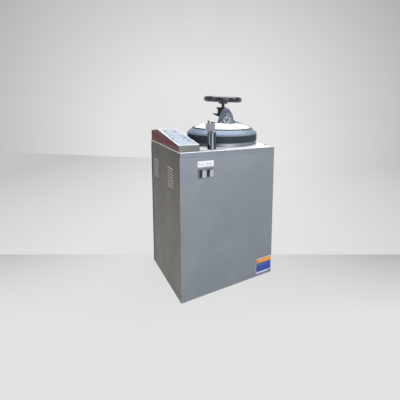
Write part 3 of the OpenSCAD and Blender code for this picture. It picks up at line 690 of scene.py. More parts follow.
LIP = 2.6
top_corner = 3.5
edge = 2.0
loops = [rounded_loop(edge, top_corner, CAB_TOP)]
for k in range(1, 6):
    t = math.radians(18 * k)
    loops.append(rounded_loop(edge * (1 - math.sin(t)), top_corner, CAB_TOP - edge * (1 - math.cos(t))))
loops.append(rounded_loop(0, top_corner, CAB_TOP - LIP))
skirt_low = box("top_plate")[0][2]
loops.append(rounded_loop(0, top_corner, skirt_low))
loops.append(rounded_loop(SHEET, top_corner, skirt_low))
loops.append(rounded_loop(SHEET, top_corner, CAB_TOP - SHEET))
folded = raw(*loft(loops))
# Painted highlight: the top and its rounded edge are in the bright top steel; the skirt's left face is in
# the darker side steel, as painted shade.
for face_ in folded.polygons:
    bright = abs(face_.normal.z) > 0.3 or face_.center.z > CAB_TOP - LIP
    face_.material_index = 1 if bright else 2 if face_.center.x < -HALF + 3 else 0
hole_r = 182
flat = plate([[(p[0], p[1]) for p in loops[0]], circle(AXIS.x, AXIS.y, hole_r, 128)], SHEET)
flat.transform(at(0, 0, CAB_TOP - SHEET))
top_mesh = merge(folded, painted(flat, 1))
even(keep("top_sheet", top_mesh, [SKIRT_STEEL, TOP_STEEL, SIDE_STEEL], "cabinet", ("top_plate",),
          40))

seam_loops = [rounded_loop(2.2, 4, skirt_low + 4), rounded_loop(2.2, 4, PANEL_TOP - 4),
              rounded_loop(3.2, 4, PANEL_TOP - 4), rounded_loop(3.2, 4, skirt_low + 4)]
seam_loops.append(seam_loops[0])
keep("skirt_seam", raw(*loft(seam_loops)), SEAM_GREY, "cabinet")

collar = [(195, 0), (195, 0.9), (194.4, 1.5), (191.4, 1.5), (190.6, 1.9), (190.4, 2.6), (190.4, 19.2),
          (190.1, 19.8), (189.4, 20), (188.7, 19.8), (188.4, 19.2), (188.4, 0)]
keep("neck_collar", lathe(lifted(collar, CAB_TOP), AXIS, 192), COLLAR_STEEL, "cabinet", ())

plug = lathe([(7, 0), (7, 0.9), (6, 1.8), (0, 2)], (247, -184), 32)
keep("top_plug", moved(plug, at(0, 0, CAB_TOP)), SHADE_BLACK, "cabinet")

# ---------------------------------------------------------------- console

CONSOLE_X0 = SHELL_LO[0]
CONSOLE_X1 = SHELL_HI[0]
CONSOLE_W = CONSOLE_X1 - CONSOLE_X0
SLOPE0 = Vector((0, -245, CAB_TOP + 30))
SLOPE1 = Vector((0, 122, CAB_TOP + 73))
SLOPE_L = (SLOPE1 - SLOPE0).length
slope_dir = (SLOPE1 - SLOPE0).normalized()
slope_up = Vector((0, -slope_dir.z, slope_dir.y))


def on_slope(x, s, h=0.0):
    """Local X across the console, local Y up its slope, local Z out of it."""
    o = SLOPE0 + slope_dir * s + slope_up * h
    across_up = (0, slope_dir.y, slope_up.y, o.y)
    return Matrix(((1, 0, 0, x), across_up, (0, slope_dir.z, slope_up.z, o.z), (0, 0, 0, 1)))


def facing_x(x=0, y=0, z=0):
    """Local X along +Y, local Y up and local Z along +X, from an origin."""
    return Matrix(((0, 0, 1, x), (1, 0, 0, y), (0, 1, 0, z), (0, 0, 0, 1)))


profile = [(-249, CAB_TOP), (-245, SLOPE0.z), (122, SLOPE1.z), (251, CAB_TOP + 58), (253, CAB_TOP)]
profile = fillet(profile, [0, 2.2, 6, 5, 0], 6, closed=True)
console = plate([profile], CONSOLE_W, 1.6, facing_x(CONSOLE_X0), 3)
# Painted shade: the console's left face takes the darker side tone.
for face_ in console.polygons:
    face_.material_index = 1 if face_.normal.x < -0.9 else 0
even(keep("console_body", console, [CONSOLE_STEEL, CONSOLE_SIDE], "cabinet",
          ("console_shell", "control_board")))
gasket = block((CONSOLE_X0 + 0.3, -249.3, CAB_TOP), (CONSOLE_X1 - 0.3, 252.8, CAB_TOP + 0.8), 0.3)
keep("console_gasket", gasket, RUBBER, "cabinet")
trim = block((0, 0, -5), (0.5, SLOPE_L - 6, -0.6), 0.15, 2, on_slope(CONSOLE_X0 - 0.3, 3))
keep("console_trim", trim, RUBBER, "cabinet")

KEY_X = CONSOLE_X0 + 40
KEY_S = 130
SQUASH = 0.62
film_w = CONSOLE_W - 1.0
film_l = SLOPE_L - 6
film_x = CONSOLE_X0 + 0.5
film = on_slope(film_x, 3, 0.05)


def arc_loop(sign, grow=0.0):
    """Outline of one arrow arc round the oval key; sign 1 is the rear one."""
    outer, inner = 62 + grow, 42 - grow
    gap = 20 - grow
    a0 = math.asin(gap / outer)
    b0 = math.asin(gap / inner)
    pts = []
    for k in range(29):
        a = a0 + (math.pi - 2 * a0) * k / 28
        pts.append((outer * math.cos(a) * SQUASH, sign * outer * math.sin(a)))
    for k in range(29):
        b = math.pi - b0 - (math.pi - 2 * b0) * k / 28
        pts.append((inner * math.cos(b) * SQUASH, sign * inner * math.sin(b)))
    return pts


def oval(r, n=64):
    return circle(0, 0, r, n, SQUASH)


def shifted(points, x, y):
    return [(px + x, py + y) for px, py in points]


key_dx = KEY_X - film_x
key_dy = KEY_S - 3
key_holes = [shifted(loop, key_dx, key_dy) for loop in (oval(32.35), arc_loop(1, 0.3), arc_loop(-1, 0.3))]
show_w, show_l = 52, 58
show_x = film_w / 2 - show_w / 2
show_y = 280 - 3
show_hole = rect(show_x, show_y, show_x + show_w, show_y + show_l, 3)
film_t = 1.7
edge_w = 4.5
inner_edge = rect(edge_w, edge_w, film_w - edge_w * 0.6, film_l - edge_w, 4)
border = plate([rect(0, 0, film_w, film_l, 3), inner_edge], film_t, 0.35, film)
field = plate([inner_edge] + key_holes + [show_hole], film_t - 0.25, 0, film)
keep("membrane_border", border, WHITE_EDGE, "cabinet", ("console_membrane",))
keep("membrane_field", field, OVERLAY, "cabinet", ())

INK = 0.12
ink_at = film @ at(0, 0, film_t - 0.25)
panel = rect(9, 60, film_w - 8, 205, 7)
keep("membrane_panel", plate([panel] + key_holes, INK, 0, ink_at), OVERLAY_GREY, "cabinet", ())
bars = [rect(14, 222 + 9 * i, 14 + w, 225 + 9 * i, 1.2) for i, w in enumerate((30, 18, 24))]
dots = [circle(18 + 20 * i, 24, 3.2, 24) for i in range(4)]
line = rect(12, 38, film_w - 12, 40, 0.9)
marks = [plate([loop], INK, 0, ink_at) for loop in (*bars, *dots, line)]
keep("membrane_marks", merge(*marks), KEY_RING, "cabinet", ())


def key_piece(name, loop, node, mark):
    low, thickness = 0.95, 1.6
    cap = plate([loop], thickness, 0.4, on_slope(KEY_X, KEY_S, low))
    print_ = plate([mark], 0.18, 0, on_slope(KEY_X, KEY_S, low + thickness))
    keep(name, layers([cap], [print_]), [KEY, KEY_RING], node, (node,))


key_piece("key_oval", oval(31.9), "key_start", oval(9, 40))
key_piece("key_arc_rear", arc_loop(1, -0.1), "key_up", [(-7, 48), (7, 48), (0, 57)])
key_piece("key_arc_front", arc_loop(-1, -0.1), "key_down", [(-7, -48), (0, -57), (7, -48)])

frame_t = 2.3
show = film @ at(show_x, show_y, 0)
window = rect(5, 7, show_w - 5, show_l - 8, 2)
rim = plate([rect(0.3, 0.3, show_w - 0.3, show_l - 0.3, 3), window], frame_t, 0.4, show)
glass_t = 1.6
glass = plate([rect(4.5, 6.5, show_w - 4.5, show_l - 7.5, 2)], glass_t, 0, show)
strokes = []
for i in range(4):
    x0 = 8.5 + 9.3 * i
    strokes += [rect(x0, y, x0 + 6, y + 1.4) for y in (17, 26, 35)]
    strokes += [rect(x, 18.8, x + 1.2, 34.6) for x in (x0, x0 + 4.8)]
digits = [plate([loop], 0.15, 0, show @ at(0, 0, glass_t)) for loop in strokes]
lamp = [(3, 0), (3, 0.3), (2.2, 0.8), (0, 1)]
lamps = [moved(lathe(lamp, n=24), show @ at(show_w - x, 3.7, frame_t - 0.4)) for x in (10, 20)]
keep("display_unit", layers([rim, *digits], [glass], lamps), [DISPLAY_DARK, LCD, RED], "cabinet",
     ("display_window",))

# ---------------------------------------------------------------- breakers and labels

bx, bz = BREAKER
MODULES = (-19, 19)
face = at(bx, -HALF, bz) @ FACE_FRONT
ROCKER_X = -9.6
SLOT_W, SLOT_H = 7.6, 19.5
# Painted shade in near-black: a rail behind the cut-out, a thin plate filling the gap round the modules, a
# block in each rocker slot and a disc in each screw hole.
rail = plate([rect(-46, -30, 46, 30, 2)], 2, 0.3, face @ at(0, 0, -3.5))
gap_loops = [rect(-39.5, -23.3, 39.5, 23.3), rect(-37.2, -21.1, 37.2, 21.1)]
units, darks = [], [rail, plate(gap_loops, 2, 0.3, face @ at(0, 0, -1.2))]
for m in MODULES:
    slot_x = m + ROCKER_X
    front_loop = rect(m - 18.1, -21, m + 18.1, 21, 0.8)
    slot_loop = rect(slot_x - SLOT_W, -SLOT_H, slot_x + SLOT_W, SLOT_H, 0.6)
    units.append(plate([front_loop, slot_loop], 14, 0.4, face @ at(0, 0, -11.6)))
    units.append(block((bx + m - 18, -HALF + 14, bz - 21), (bx + m + 18, -HALF + 51, bz + 21)))
    units.append(plate([rect(m + 0.4, -17, m + 16.4, 15, 2.2)], 1, 0.4, face @ at(0, 0, 1.5)))
    slot_lo = (bx + slot_x - 7.8, -HALF + 13, bz - 20)
    slot_hi = (bx + slot_x + 7.8, -HALF + 14.2, bz + 20)
    darks.append(block(slot_lo, slot_hi, 0))
    for dx in (2, 12):
        screw_hole = lathe([(2.9, 0), (2.9, 0.5), (0, 0.5)], n=24)
        darks.append(moved(screw_hole, face @ at(m + dx, 18.2, 2.2)))
even(keep("breaker_unit", layers(units, darks), [BREAKER_GREY, SHADE_BLACK], "cabinet", ("breaker_housing",)))


def rocker(name, m, node):
    """A tall ridged rocker, tilted about its pivot to the off side."""
    pivot = at(bx + m + ROCKER_X, -HALF + 7, bz) @ turned(7, "X")
    ridges, tall, width = 28, 17.6, 14.2
    outline = []
    for k in range(ridges + 1):
        z = -tall + 2 * tall * k / ridges
        outline.append((-(8.3 + 2.4 * (z / tall) ** 2 + (0.3 if k % 2 else 0)), z))
    outline += [(-1.2, tall), (-1.2, -tall)]
    body = plate([outline], width, 0.5, pivot @ facing_x(-width / 2))
    barrel = lathe([(0, -width / 2), (4, -width / 2), (4, width / 2), (0, width / 2)], n=32)
    barrel.transform(pivot @ turned(90, "Y"))
    even(keep(name, merge(body, barrel), BLACK, node, (node,)))


rocker("rocker_left", MODULES[0], "breaker_toggle_left")
rocker("rocker_right", MODULES[1], "breaker_toggle_right")

LABEL_T = 0.3
STICKER_T = 0.21
PRINT_T = 0.07
front_at = at(0, -HALF, 0) @ FACE_FRONT
print_at = front_at @ at(0, 0, STICKER_T)
over_at = print_at @ at(0, 0, PRINT_T)
paper = plate([rect(-176, 675, -96, 704, 1.2)], LABEL_T, 0, front_at)
sticker = plate([rect(158, 19.5, HALF - 2.2, 107, 1.5)], STICKER_T, 0, front_at)
word_loops = [rect(-172, 679.5, -100, 680.3)]
for x, widths in ((-170, (9, 6, 4, 7)), (-134, (5, 8, 5, 9))):
    for i, w in enumerate(widths):
        word_loops.append(rect(x, 685 + i % 2, x + w - 2, 693 - i % 3, 0.8))
        x += w
words = [plate([loop], 0.08, 0, front_at @ at(0, 0, LABEL_T)) for loop in word_loops]
orange = plate([rect(158.8, 80, 255.5, 105, 0.6)], PRINT_T, 0, print_at)
blue = plate([rect(158.8, 27, 255.5, 79.6, 0.6)], PRINT_T, 0, print_at)
dark = plate([rect(236, 20.4, 255, 24.6, 0.4)], PRINT_T, 0, print_at)
patches = [rect(160 + 8.2 * i, 21.4, 165.5 + 8.2 * i, 25.8, 0.8) for i in range(9)]
pale = [plate([loop], PRINT_T, 0, print_at) for loop in patches]
deep = plate([rect(160, 81, 172, 101, 0.8)], 0.06, 0, over_at)
teal = plate([rect(160, 64, 216, 76, 2)], 0.06, 0, over_at)
keep("front_stickers", layers([paper, sticker], words, [orange], [blue], [dark], pale, [deep], [teal]),
     [PAPER, PRINT_GREY, ORANGE, BLUE, DISPLAY_DARK, PALE_BLUE, DEEP_ORANGE, TEAL], "cabinet",
     ("front_labels",))

# ---------------------------------------------------------------- lid

def on_axis(z=0.0, turn=0.0):
    return at(AXIS.x, AXIS.y, z) @ turned(turn, "Z")


BEAD_T = 4
ring_in = DOME_R + BEAD_T + 0.1
SHOULDER = 37
outer = [(RING_R, 0), (RING_R, 44), (ring_in + 5.4, 65.4), (ring_in + 2.3, 68), (ring_in, 68),
         (ring_in, 66), (ring_in + 1.5, 66), (RING_R - 2, 42), (RING_R - 2, 0)]
outer = fillet(outer, [0.9, 18, 0, 1.6, 0.9, 0, 0, 16, 0.9], 14, closed=True)
outer.insert(next(i for i, q in enumerate(outer) if q[1] > SHOULDER), (RING_R, SHOULDER))
ring_mid = [(Vector(q) + Vector(outer[(i + 1) % len(outer)])) / 2 for i, q in enumerate(outer)]
# Painted shade: the ring's skirt below the shoulder and a narrow band next to the bead are near-black; the
# bevel above is lit.
ring_index = [1 if q.y < SHOULDER or q.x < ring_in + 5.5 else 0 for q in ring_mid]
ring = lathe(lifted(outer, RING_Z0), AXIS, 256, True, ring_index)
keep("ring_shell", ring, [RING_TOP, RING_SHADE], "lid", ("ring_cover",), 60)

bead = rect(DOME_R + 0.02, 60, DOME_R + BEAD_T, 71.5, 1.8, 6)
keep("dome_bead", lathe(lifted(bead, RING_Z0), AXIS, 256, True), RUBBER, "lid", ("lid_bead",))

RISE = DOME_HI[2] - RING_Z1
DOME_BIG = (DOME_R ** 2 + RISE ** 2) / (2 * RISE)
DOME_C = DOME_HI[2] - DOME_BIG


def dome_z(r):
    return DOME_C + math.sqrt(DOME_BIG ** 2 - r ** 2)


crown = [(r, dome_z(r)) for r in [10.5 + (DOME_R - 12) * i / 40 for i in range(41)]]
rolled = [(DOME_R - 0.5, RING_Z1 - 0.3), (DOME_R, RING_Z1 - 2), (DOME_R, RING_Z1 - 13.9),
          (DOME_R - 2.4, RING_Z1 - 13.9), (DOME_R - 2.5, RING_Z1 - 3)]
under = lifted(crown[-2::-1], -2.4)
keep("dome_shell", lathe(crown + rolled + under, AXIS, 256, True), DOME, "lid", ("lid_dome",),
     40)

BELL = ((48, 27, 0), (44, 26, 12), (41, 25, 23), (38, 23, 40), (34.5, 21.3, 49), (30, 19, 57),
        (24, 15.6, 66), (17, 12, 74), (11, 8.4, 80), (6, 5, 84), (2.2, 2, 85.8))
BELL_Z = DOME_HI[2] - 3
bell_at = at(AXIS.x, AXIS.y - 41, BELL_Z) @ turned(-27, "Z")


def super_loop(a, b, power, n):
    """An oval of half-widths a and b whose sides swell as the power falls below 1."""
    return [(signed(x, power) * a, signed(y, power) * b) for x, y in circle(0, 0, 1, n)]


def level_loop(a, b, z, power=0.8):
    return [(x, y, z) for x, y in super_loop(a, b, power, 72)]


def smooth_table(table, steps):
    """Catmull-Rom points between the rows of a table."""
    out = []
    for i in range(len(table) - 1):
        p = [Vector(table[max(i - 1, 0)]), Vector(table[i]), Vector(table[i + 1]),
             Vector(table[min(i + 2, len(table) - 1)])]
        for k in range(steps):
            t = k / steps
            v = 0.5 * ((2 * p[1]) + (p[2] - p[0]) * t + (2 * p[0] - 5 * p[1] + 4 * p[2] - p[3]) * t ** 2
                       + (3 * p[1] - p[0] - 3 * p[2] + p[3]) * t ** 3)
            out.append(tuple(v))
    out.append(tuple(table[-1]))
    return out


rows = smooth_table(BELL, 4)
bell_loops = [level_loop(47.6, 26.6, -8)] + [level_loop(a - 0.4, b - 0.4, z) for a, b, z in rows]
verts, faces = loft(bell_loops)
n = len(bell_loops[0])
faces += [[len(verts) - n + i for i in range(n)], list(range(n))[::-1]]
cast, light_parts = [moved(raw(verts, faces), bell_at)], []

FOOT = ((51, 25.5, -9), (51.4, 25.7, -1.5), (51, 25.3, -0.2), (49.6, 24.2, 0.9), (47.8, 22.8, 1.6),
        (46, 21, 2.2))
foot_loops = [level_loop(a, b, z, 2 / 2.2) for a, b, z in FOOT]
light_parts.append(moved(raw(*loft(foot_loops)), bell_at))

boss_at = bell_at @ at(4, -8, 18) @ turned(90, "X")
boss = [(18, 0), (17.9, 4), (17.7, 16), (17.4, 17.4), (16.6, 18.4), (15.4, 18.8), (14.2, 18.4),
        (13.6, 17.6), (13, 16.6), (12.2, 16.2), (0, 16.2)]
bosses = [moved(lathe(boss, n=96, index=[0, 0, 1, 1, 1, 1, 1, 0, 0, 0]), boss_at)]
# Painted highlight: a light bar over the boss and another under it.
brow = []
for k in range(25):
    x, y = polar(19.4, 28 + 124 * k / 24)
    brow.append((x, y, 14.2 - 5 * (y / 19.4) ** 2))
light_parts.append(moved(tube(brow, 2.3), boss_at))
lip_line = [(x, -16.5 + 0.0025 * x * x, 13.5) for x in range(-22, 23, 4)]
light_parts.append(moved(tube(lip_line, 2), boss_at))
# Painted shade: each well's floor is near-black; its rim is in the light cast tone.
WELL = [(7, 16.1), (6.9, 17.1), (6.4, 17.5), (5.8, 17.1), (5.6, 16.6), (5.5, 16.4), (0, 16.4)]
for s in (-1, 1):
    bosses.append(moved(lathe(WELL, n=48, index=[1, 1, 1, 1, 2, 2]), boss_at @ at(s * 8.5, 1, 0)))
for x, z0, z1 in ((-26, 26, 60), (-15, 38, 72), (19, 42, 66), (30, 20, 48)):
    rib = []
    for k in range(17):
        z = z0 + (z1 - z0) * k / 16
        a, b = next((r[0], r[1]) for r in rows if r[2] >= z)
        along = x * (1 - 0.45 * k / 16)
        depth = b * max(0.0, 1 - abs(along / a) ** 2.5) ** (1 / 2.5)
        rib.append((along, 0.9 - depth, z))
    cast.append(moved(tube(rib, 1.5, 10), bell_at))
keep("lid_casting", merge(layers(cast, light_parts), *bosses), [CAST, CAST_BRIGHT, SHADE_BLACK], "lid",
     ("lid_bracket",), 40)

pads, heads, washers = [], [], []
for s in (-1, 1):
    spot = bell_at @ Vector((s * 31, -16, 0))
    base = at(spot.x, spot.y, dome_z((spot.xy - AXIS.xy).length))
    pad = [(11, -6), (11, 4.2), (10.4, 5.2), (9, 5.6), (0, 5.6)]
    pads.append(moved(lathe(pad, n=48), base @ at(0, 0, 0.5)))
    washer = [(6.6, 0), (6.6, 1.0), (6.2, 1.3), (0, 1.3)]
    washers.append(moved(lathe(washer, n=40), base @ at(0, 0, 6.1)))
    heads.append(moved(hex_nut(5.6, 4.2), base @ at(0, 0, 7.4)))
keep("casting_feet", layers(pads, heads, washers), [CAST, BLACK_IRON, ZINC], "lid", ())

SHELF = DOME_HI[2] + 74
side_on = turned(90, "X")
web = [(-8, 2), (-33, 2), (-28, -15), (-33, -31), (-46, -28.5), (-55, -25.5), (-57.5, -28.5), (-52, -34.5),
       (-40, -40.5), (-28, -44.5), (-8, -43.5)]
web = fillet(lifted(web, SHELF), [2, 3, 6, 6, 8, 2, 1.5, 9, 9, 4, 2], 6, closed=True)
iron = [plate([web], 16, 2.2, on_axis() @ side_on @ at(0, 0, -10))]
shelf_loop = [(-36, -8), (-8, -10), (2, -10), (2, 12), (-8, 12), (-36, 10)]
shelf_loop = fillet(shelf_loop, [4, 0, 0, 0, 0, 4], 5, closed=True)
iron.append(plate([shelf_loop], 7.6, 1.6, on_axis(SHELF)))
foot_z = dome_z(0) - 1
column = [(0, foot_z), (18, foot_z + 0.5), (17, foot_z + 3), (14, foot_z + 6), (13, foot_z + 11),
          (13, SHELF - 13), (13.9, SHELF - 10), (13.9, SHELF + 5.6), (12.9, SHELF + 7.6),
          (10.4, SHELF + 8), (9.2, SHELF + 8)]
iron.append(lathe(column, (AXIS.x, AXIS.y + 2), 64))
gusset = [(8, -31), (28, -33.6), (44, -37.6), (52, -42), (58, -48), (63, -56), (67, -62.5), (72, -67)]
strap = lifted(gusset, SHELF)
strap += [(r, dome_z(r) + 7.8 - 4.2 * (r - 80) / 75) for r in range(80, 155, 6)]
strap.append((157, dome_z(157) + 1.2))
strap += [(r, dome_z(r) + 0.25) for r in range(154, 15, -8)]
strap.append((8, dome_z(8)))
iron.append(plate([strap], 11.6, 1.1, on_axis(0, 4) @ side_on @ at(0, 0, -9.8)))
nuts = [moved(hex_nut(5, 3.4), at(*(on_axis(0, 4) @ Vector((r, 4, dome_z(r) + 4.2))))) for r in (92, 144)]
keep("iron_yoke", layers(iron, nuts), [BLACK_IRON, ZINC], "lid", ("nut_yoke",), 35)

plate_top = box("lid_plate")[1][2]
plate_z = plate_top - 10
under_side = [(0, plate_top), (167.2, plate_top), (168, plate_top - 0.8), (168, plate_z + 0.8),
              (167.4, plate_z), (166.6, plate_z), (166.1, plate_z + 0.5), (166.1, plate_z + 3),
              (157.9, plate_z + 3), (157.9, plate_z + 0.5), (157.4, plate_z), (152, plate_z)]
under_side += [(150 * i / 12, plate_z - 12 * (1 - (i / 12) ** 2)) for i in range(12, -1, -1)]
keep("pressure_plate", lathe(under_side, AXIS, 192), PLATE_STEEL, "lid", ("lid_plate",), 40)
SEAL_LO, SEAL_HI = box("lid_seal")
gasket = fillet([(158, SEAL_HI[2]), (158, SEAL_LO[2]), (166, SEAL_LO[2]), (166, SEAL_HI[2])],
                [0, 2.4, 2.4, 0], 5, closed=True)
keep("gasket_ring", lathe(gasket, AXIS, 192, True), SEAL, "lid", ("lid_seal",))

# ---------------------------------------------------------------- handwheel

WHEEL_R = (WHEEL_HI[0] - WHEEL_LO[0]) / 2
RIM = 16
WHEEL_Z = WHEEL_HI[2] - RIM
HUB_Z = WHEEL_LO[2] + 4
rim_loop = super_loop(RIM - 0.1, RIM - 0.1, 0.85, 28)
rim_loop = shifted(rim_loop, WHEEL_R - RIM, WHEEL_Z)
wheel_parts = [lathe(rim_loop, AXIS, 192, True)]
for i in range(5):
    sections = []
    for k in range(15):
        u = k / 14
        r = 14 + 68 * u
        w = 8.0 - 2.2 * math.sin(math.pi * u) + 1.6 * max(0, u - 0.8) * 5
        h = 5.4 - 1.2 * math.sin(math.pi * u)
        z = WHEEL_Z - 0.4 - 3.6 * (1 - u) ** 2
        sections.append([(r, y, z + dz) for y, dz in super_loop(w, h, 0.8, 20)])
    wheel_parts.append(moved(raw(*loft(sections)), on_axis(0, 18 + 72 * i)))
hub = [(9.1, -4), (24.8, -4), (25.9, -3), (25.9, -1.2), (25, -0.2), (22.4, 1), (21.6, 5), (22.9, 12),
       (22.9, 19), (21.4, 22.6), (18.4, 23.9), (15.4, 23.9), (14.8, 23), (9.1, 23)]
wheel_parts.append(lathe(lifted(hub, HUB_Z), AXIS, 96))
cap = [(3.3, 0), (3.3, 2.0), (2.9, 2.6), (1.7, 2.6), (1.5, 1.2), (0, 1.2)]
caps = []
for i in range(3):
    p = on_axis(HUB_Z + 23.4, 40 + 120 * i) @ Vector((16.6, 0, 0))
    caps.append(moved(lathe(cap, n=24), at(*p)))
keep("wheel_rim", layers(wheel_parts, caps), [WHEEL_BLACK, BLACK], "handwheel", ("handwheel",),
     50)

SHAFT_LO, SHAFT_HI = box("screw_shaft")
low_z = SHAFT_LO[2]
SCREW = 8.95
ROOT = 8.0
screw_prof = [(0, low_z), (ROOT, low_z), (SCREW, low_z + 0.9), (SCREW, low_z + 27.8), (12.9, low_z + 28),
              (12.9, low_z + 33), (SCREW, low_z + 33.2)]
z = low_z + 50
while z < HUB_Z - 7:
    screw_prof += [(SCREW, z), (SCREW, z + 0.7), (ROOT, z + 1.3), (ROOT, z + 1.7), (SCREW, z + 2.3)]
    z += 3.0
screw_prof += [(SCREW, HUB_Z - 5), (SCREW, HUB_Z + 25)]
shaft = lathe(screw_prof, AXIS, 48)
nut_z = HUB_Z + 24.2
nut = moved(hex_nut(12.9, 7), at(AXIS.x, AXIS.y, nut_z))
tip = lathe([(8.9, nut_z + 6.9), (8.6, nut_z + 7.6), (6, nut_z + 9.4), (0, SHAFT_HI[2])], AXIS, 32)
keep("lead_screw", layers([shaft], [nut, tip]), [DARK_IRON, BLACK_IRON], "handwheel", ("screw_shaft",),
     50)

# ---------------------------------------------------------------- interlock

post = middle("interlock_post")
post_h = box("interlock_post")[1][2] - CAB_TOP
post_prof = [(23, 0), (23, 1.3), (22.6, 1.9), (21.9, 2.2), (21.5, 3), (21.5, post_h - 4.5),
             (21.2, post_h - 2.7), (20.1, post_h - 0.9), (18, post_h - 0.1), (12, post_h), (0, post_h)]
post_mesh = lathe(lifted(post_prof, CAB_TOP), (post.x, post.y), 128)
keep("lock_post", post_mesh, POST_STEEL, "cabinet", ("interlock_post",), 30)
block_xy = Vector((-92, -204))
turn_a = math.atan2(AXIS.y - block_xy.y, AXIS.x - block_xy.x)
on_block = at(block_xy.x, block_xy.y, 0) @ Matrix.Rotation(turn_a, 4, "Z")
b0, b1 = [p[2] for p in box("interlock_block")]
body_z = b0 + 8
BX, BY = 15, 18
BY0 = -22
outline = rect(-BX, BY0, BX, BY, 1.6, 3)
LEVER_Y = -10
BUTTON = (-3, 6)
BORE_Z = b0 + 24
holes_top = [circle(BUTTON[0], BUTTON[1], 4.2, 32), circle(0, LEVER_Y, 4.2, 32)]
cap_h = 11
head_parts = [plate([outline] + holes_top, cap_h, 0.9, on_block @ at(0, 0, b1 - cap_h))]
front_hole = circle(0, BORE_Z - body_z, 7.2, 48)
wall_h = b1 - cap_h + 0.4 - body_z
face_loop = rect(BY0, 0, BY, wall_h)
head_parts.append(plate([face_loop, front_hole], 27, 0, on_block @ facing_x(-12, 0, body_z)))
head_parts.append(block((-BX, BY0, body_z), (-11.9, BY, b1 - cap_h + 0.4), 0.9, 2, on_block))
neck = lathe([(12, 0), (12, 5), (12.6, 7), (14, 8.4)], n=64)
head_parts.append(moved(neck, on_block @ at(0, 0, b0)))
even(keep("lock_block", merge(*head_parts), BLOCK_GREY, "cabinet", ("interlock_block",), 40))

plunger = [(0, 0), (6.2, 0), (6.95, 0.8), (6.95, 50.5), (6.2, 52.6), (4.6, 53.9), (0, 53.9)]
plunger_mesh = lathe(plunger, n=48)
plunger_mesh.transform(on_block @ at(-11.5, 0, BORE_Z) @ turned(90, "Y"))
keep("lock_bolt", plunger_mesh, BRIGHT, "interlock_plunger", ("interlock_plunger",), 40)

lever_prof = [(0, -9.4), (3.95, -9.4), (3.95, 1), (5.6, 1), (6, 1.6), (6, 6), (5.2, 6.9), (3.2, 7),
              (2.9, 6.2), (0, 6.2)]
arm = [(-3, 1), (-3, -13), (-2.6, -16.9), (2.6, -16.9), (3, -13), (3, 1)]
arm = fillet(arm, [0, 2, 2.4, 2.4, 2, 0], 5, closed=True)
lever = merge(lathe(lever_prof, n=48), plate([arm], 4, 0.9, at(0, 0, 2)))
keep("lock_lever", moved(lever, on_block @ at(0, LEVER_Y, b1)), BLACK, "interlock_lever",
     ("interlock_lever",), 40)

button = [(0, -6.2), (3.95, -6.2), (3.95, 5), (5.4, 5.1), (5.95, 5.8), (5.95, 9.2), (5.2, 10.4),
          (3.4, 11.4), (1.9, 12.4), (1.2, 13.4), (1.1, 15.4), (0.6, 15.9), (0, 15.95)]
keep("lock_button", moved(lathe(button, n=48), on_block @ at(*BUTTON, b1)), BLACK,
     "interlock_button", ("interlock_button",), 40)

# ---------------------------------------------------------------- hinge

HINGE_Y = 232
HINGE_Z = CAB_TOP + 39
across = facing_x(AXIS.x, HINGE_Y, HINGE_Z)
screw_x = (-40, 0, 40)
base_loops = [rect(-80, 210, 80, 258, 4)] + [circle(x, 218, 4.6, 24) for x in screw_x]
mount = [plate(base_loops, 5, 0.8, at(AXIS.x, 0, CAB_TOP))]
ear = [(-16, -34.5), (16, -34.5), (16, 0)] + [polar(16, a) for a in range(10, 180, 10)] + [(-16, 0)]
for x in (-74, 66):
    mount.append(plate([ear, circle(0, 0, 8.2, 40)], 8, 0.8, across @ at(0, 0, x)))
screws = [moved(hex_nut(5.2, 3.6), at(AXIS.x + x, 218, CAB_TOP + 3.2)) for x in screw_x]
even(keep("hinge_base", layers(mount, screws), [ZINC, BRIGHT], "cabinet", ("hinge_bracket",)))

pin = [(0, -79.9), (10, -79.9), (10.9, -79), (10.9, -77.6), (10, -77.1), (8, -77), (8, 74.6),
       (7.2, 75.4), (0, 75.4)]
keep("hinge_axle", moved(lathe(pin, n=48), across), BRIGHT, "cabinet", ("hinge_pin",), 40)

near = AXIS.y + math.sqrt((RING_R + 0.3) ** 2 - 44 ** 2) - HINGE_Y
cheek = [(near, -7.6), (near, 18), (near - 14, 25.6), (-20, 25.6)]
cheek += [polar(26.6, a) for a in range(100, -61, -10)]
cheek = [p for p in cheek if p[0] < 14]
cheek += [polar(26.6, a) for a in range(-70, -165, -10)] + [(-26, -7.6)]
arm_parts = []
for x in (-49.8, 38.2):
    arm_parts.append(plate([cheek, circle(0, 0, 8.3, 40)], 11.6, 1.2, across @ at(0, 0, x)))
bridge_x = [-50 + 6.25 * k for k in range(17)]
bridge = [(x, AXIS.y + math.sqrt((RING_R - 8.4) ** 2 - x * x)) for x in bridge_x]
bridge += [(50, 195.6), (-50, 195.6)]
arm_parts.append(plate([bridge[::-1]], 10.6, 1.2, at(AXIS.x, 0, HINGE_Z + 15)))
barrel_prof = [(8.3, -65.5), (13, -65.5), (13.9, -64.6), (13.9, 64.6), (13, 65.5), (8.3, 65.5)]
arm_parts.append(moved(lathe(barrel_prof, n=64), across))
keep("hinge_fork", merge(*arm_parts), BLACK_IRON, "lid", ("hinge_arm",), 40)

# ---------------------------------------------------------------- neck, chamber and baskets

f0 = box("vessel_flange")[0][2]
flange = fillet([(154, 0), (188, 0), (188, 54), (174, 54), (174, 46), (182.5, 46), (182.5, 15), (154, 15)],
                [0.5, 1, 1.6, 1.6, 1.2, 2.5, 2.5, 1.6], 5, closed=True)
keep("lock_ring", lathe(lifted(flange, f0), AXIS, 192, True), VESSEL_STEEL, "cabinet", ("vessel_flange",),
     40)


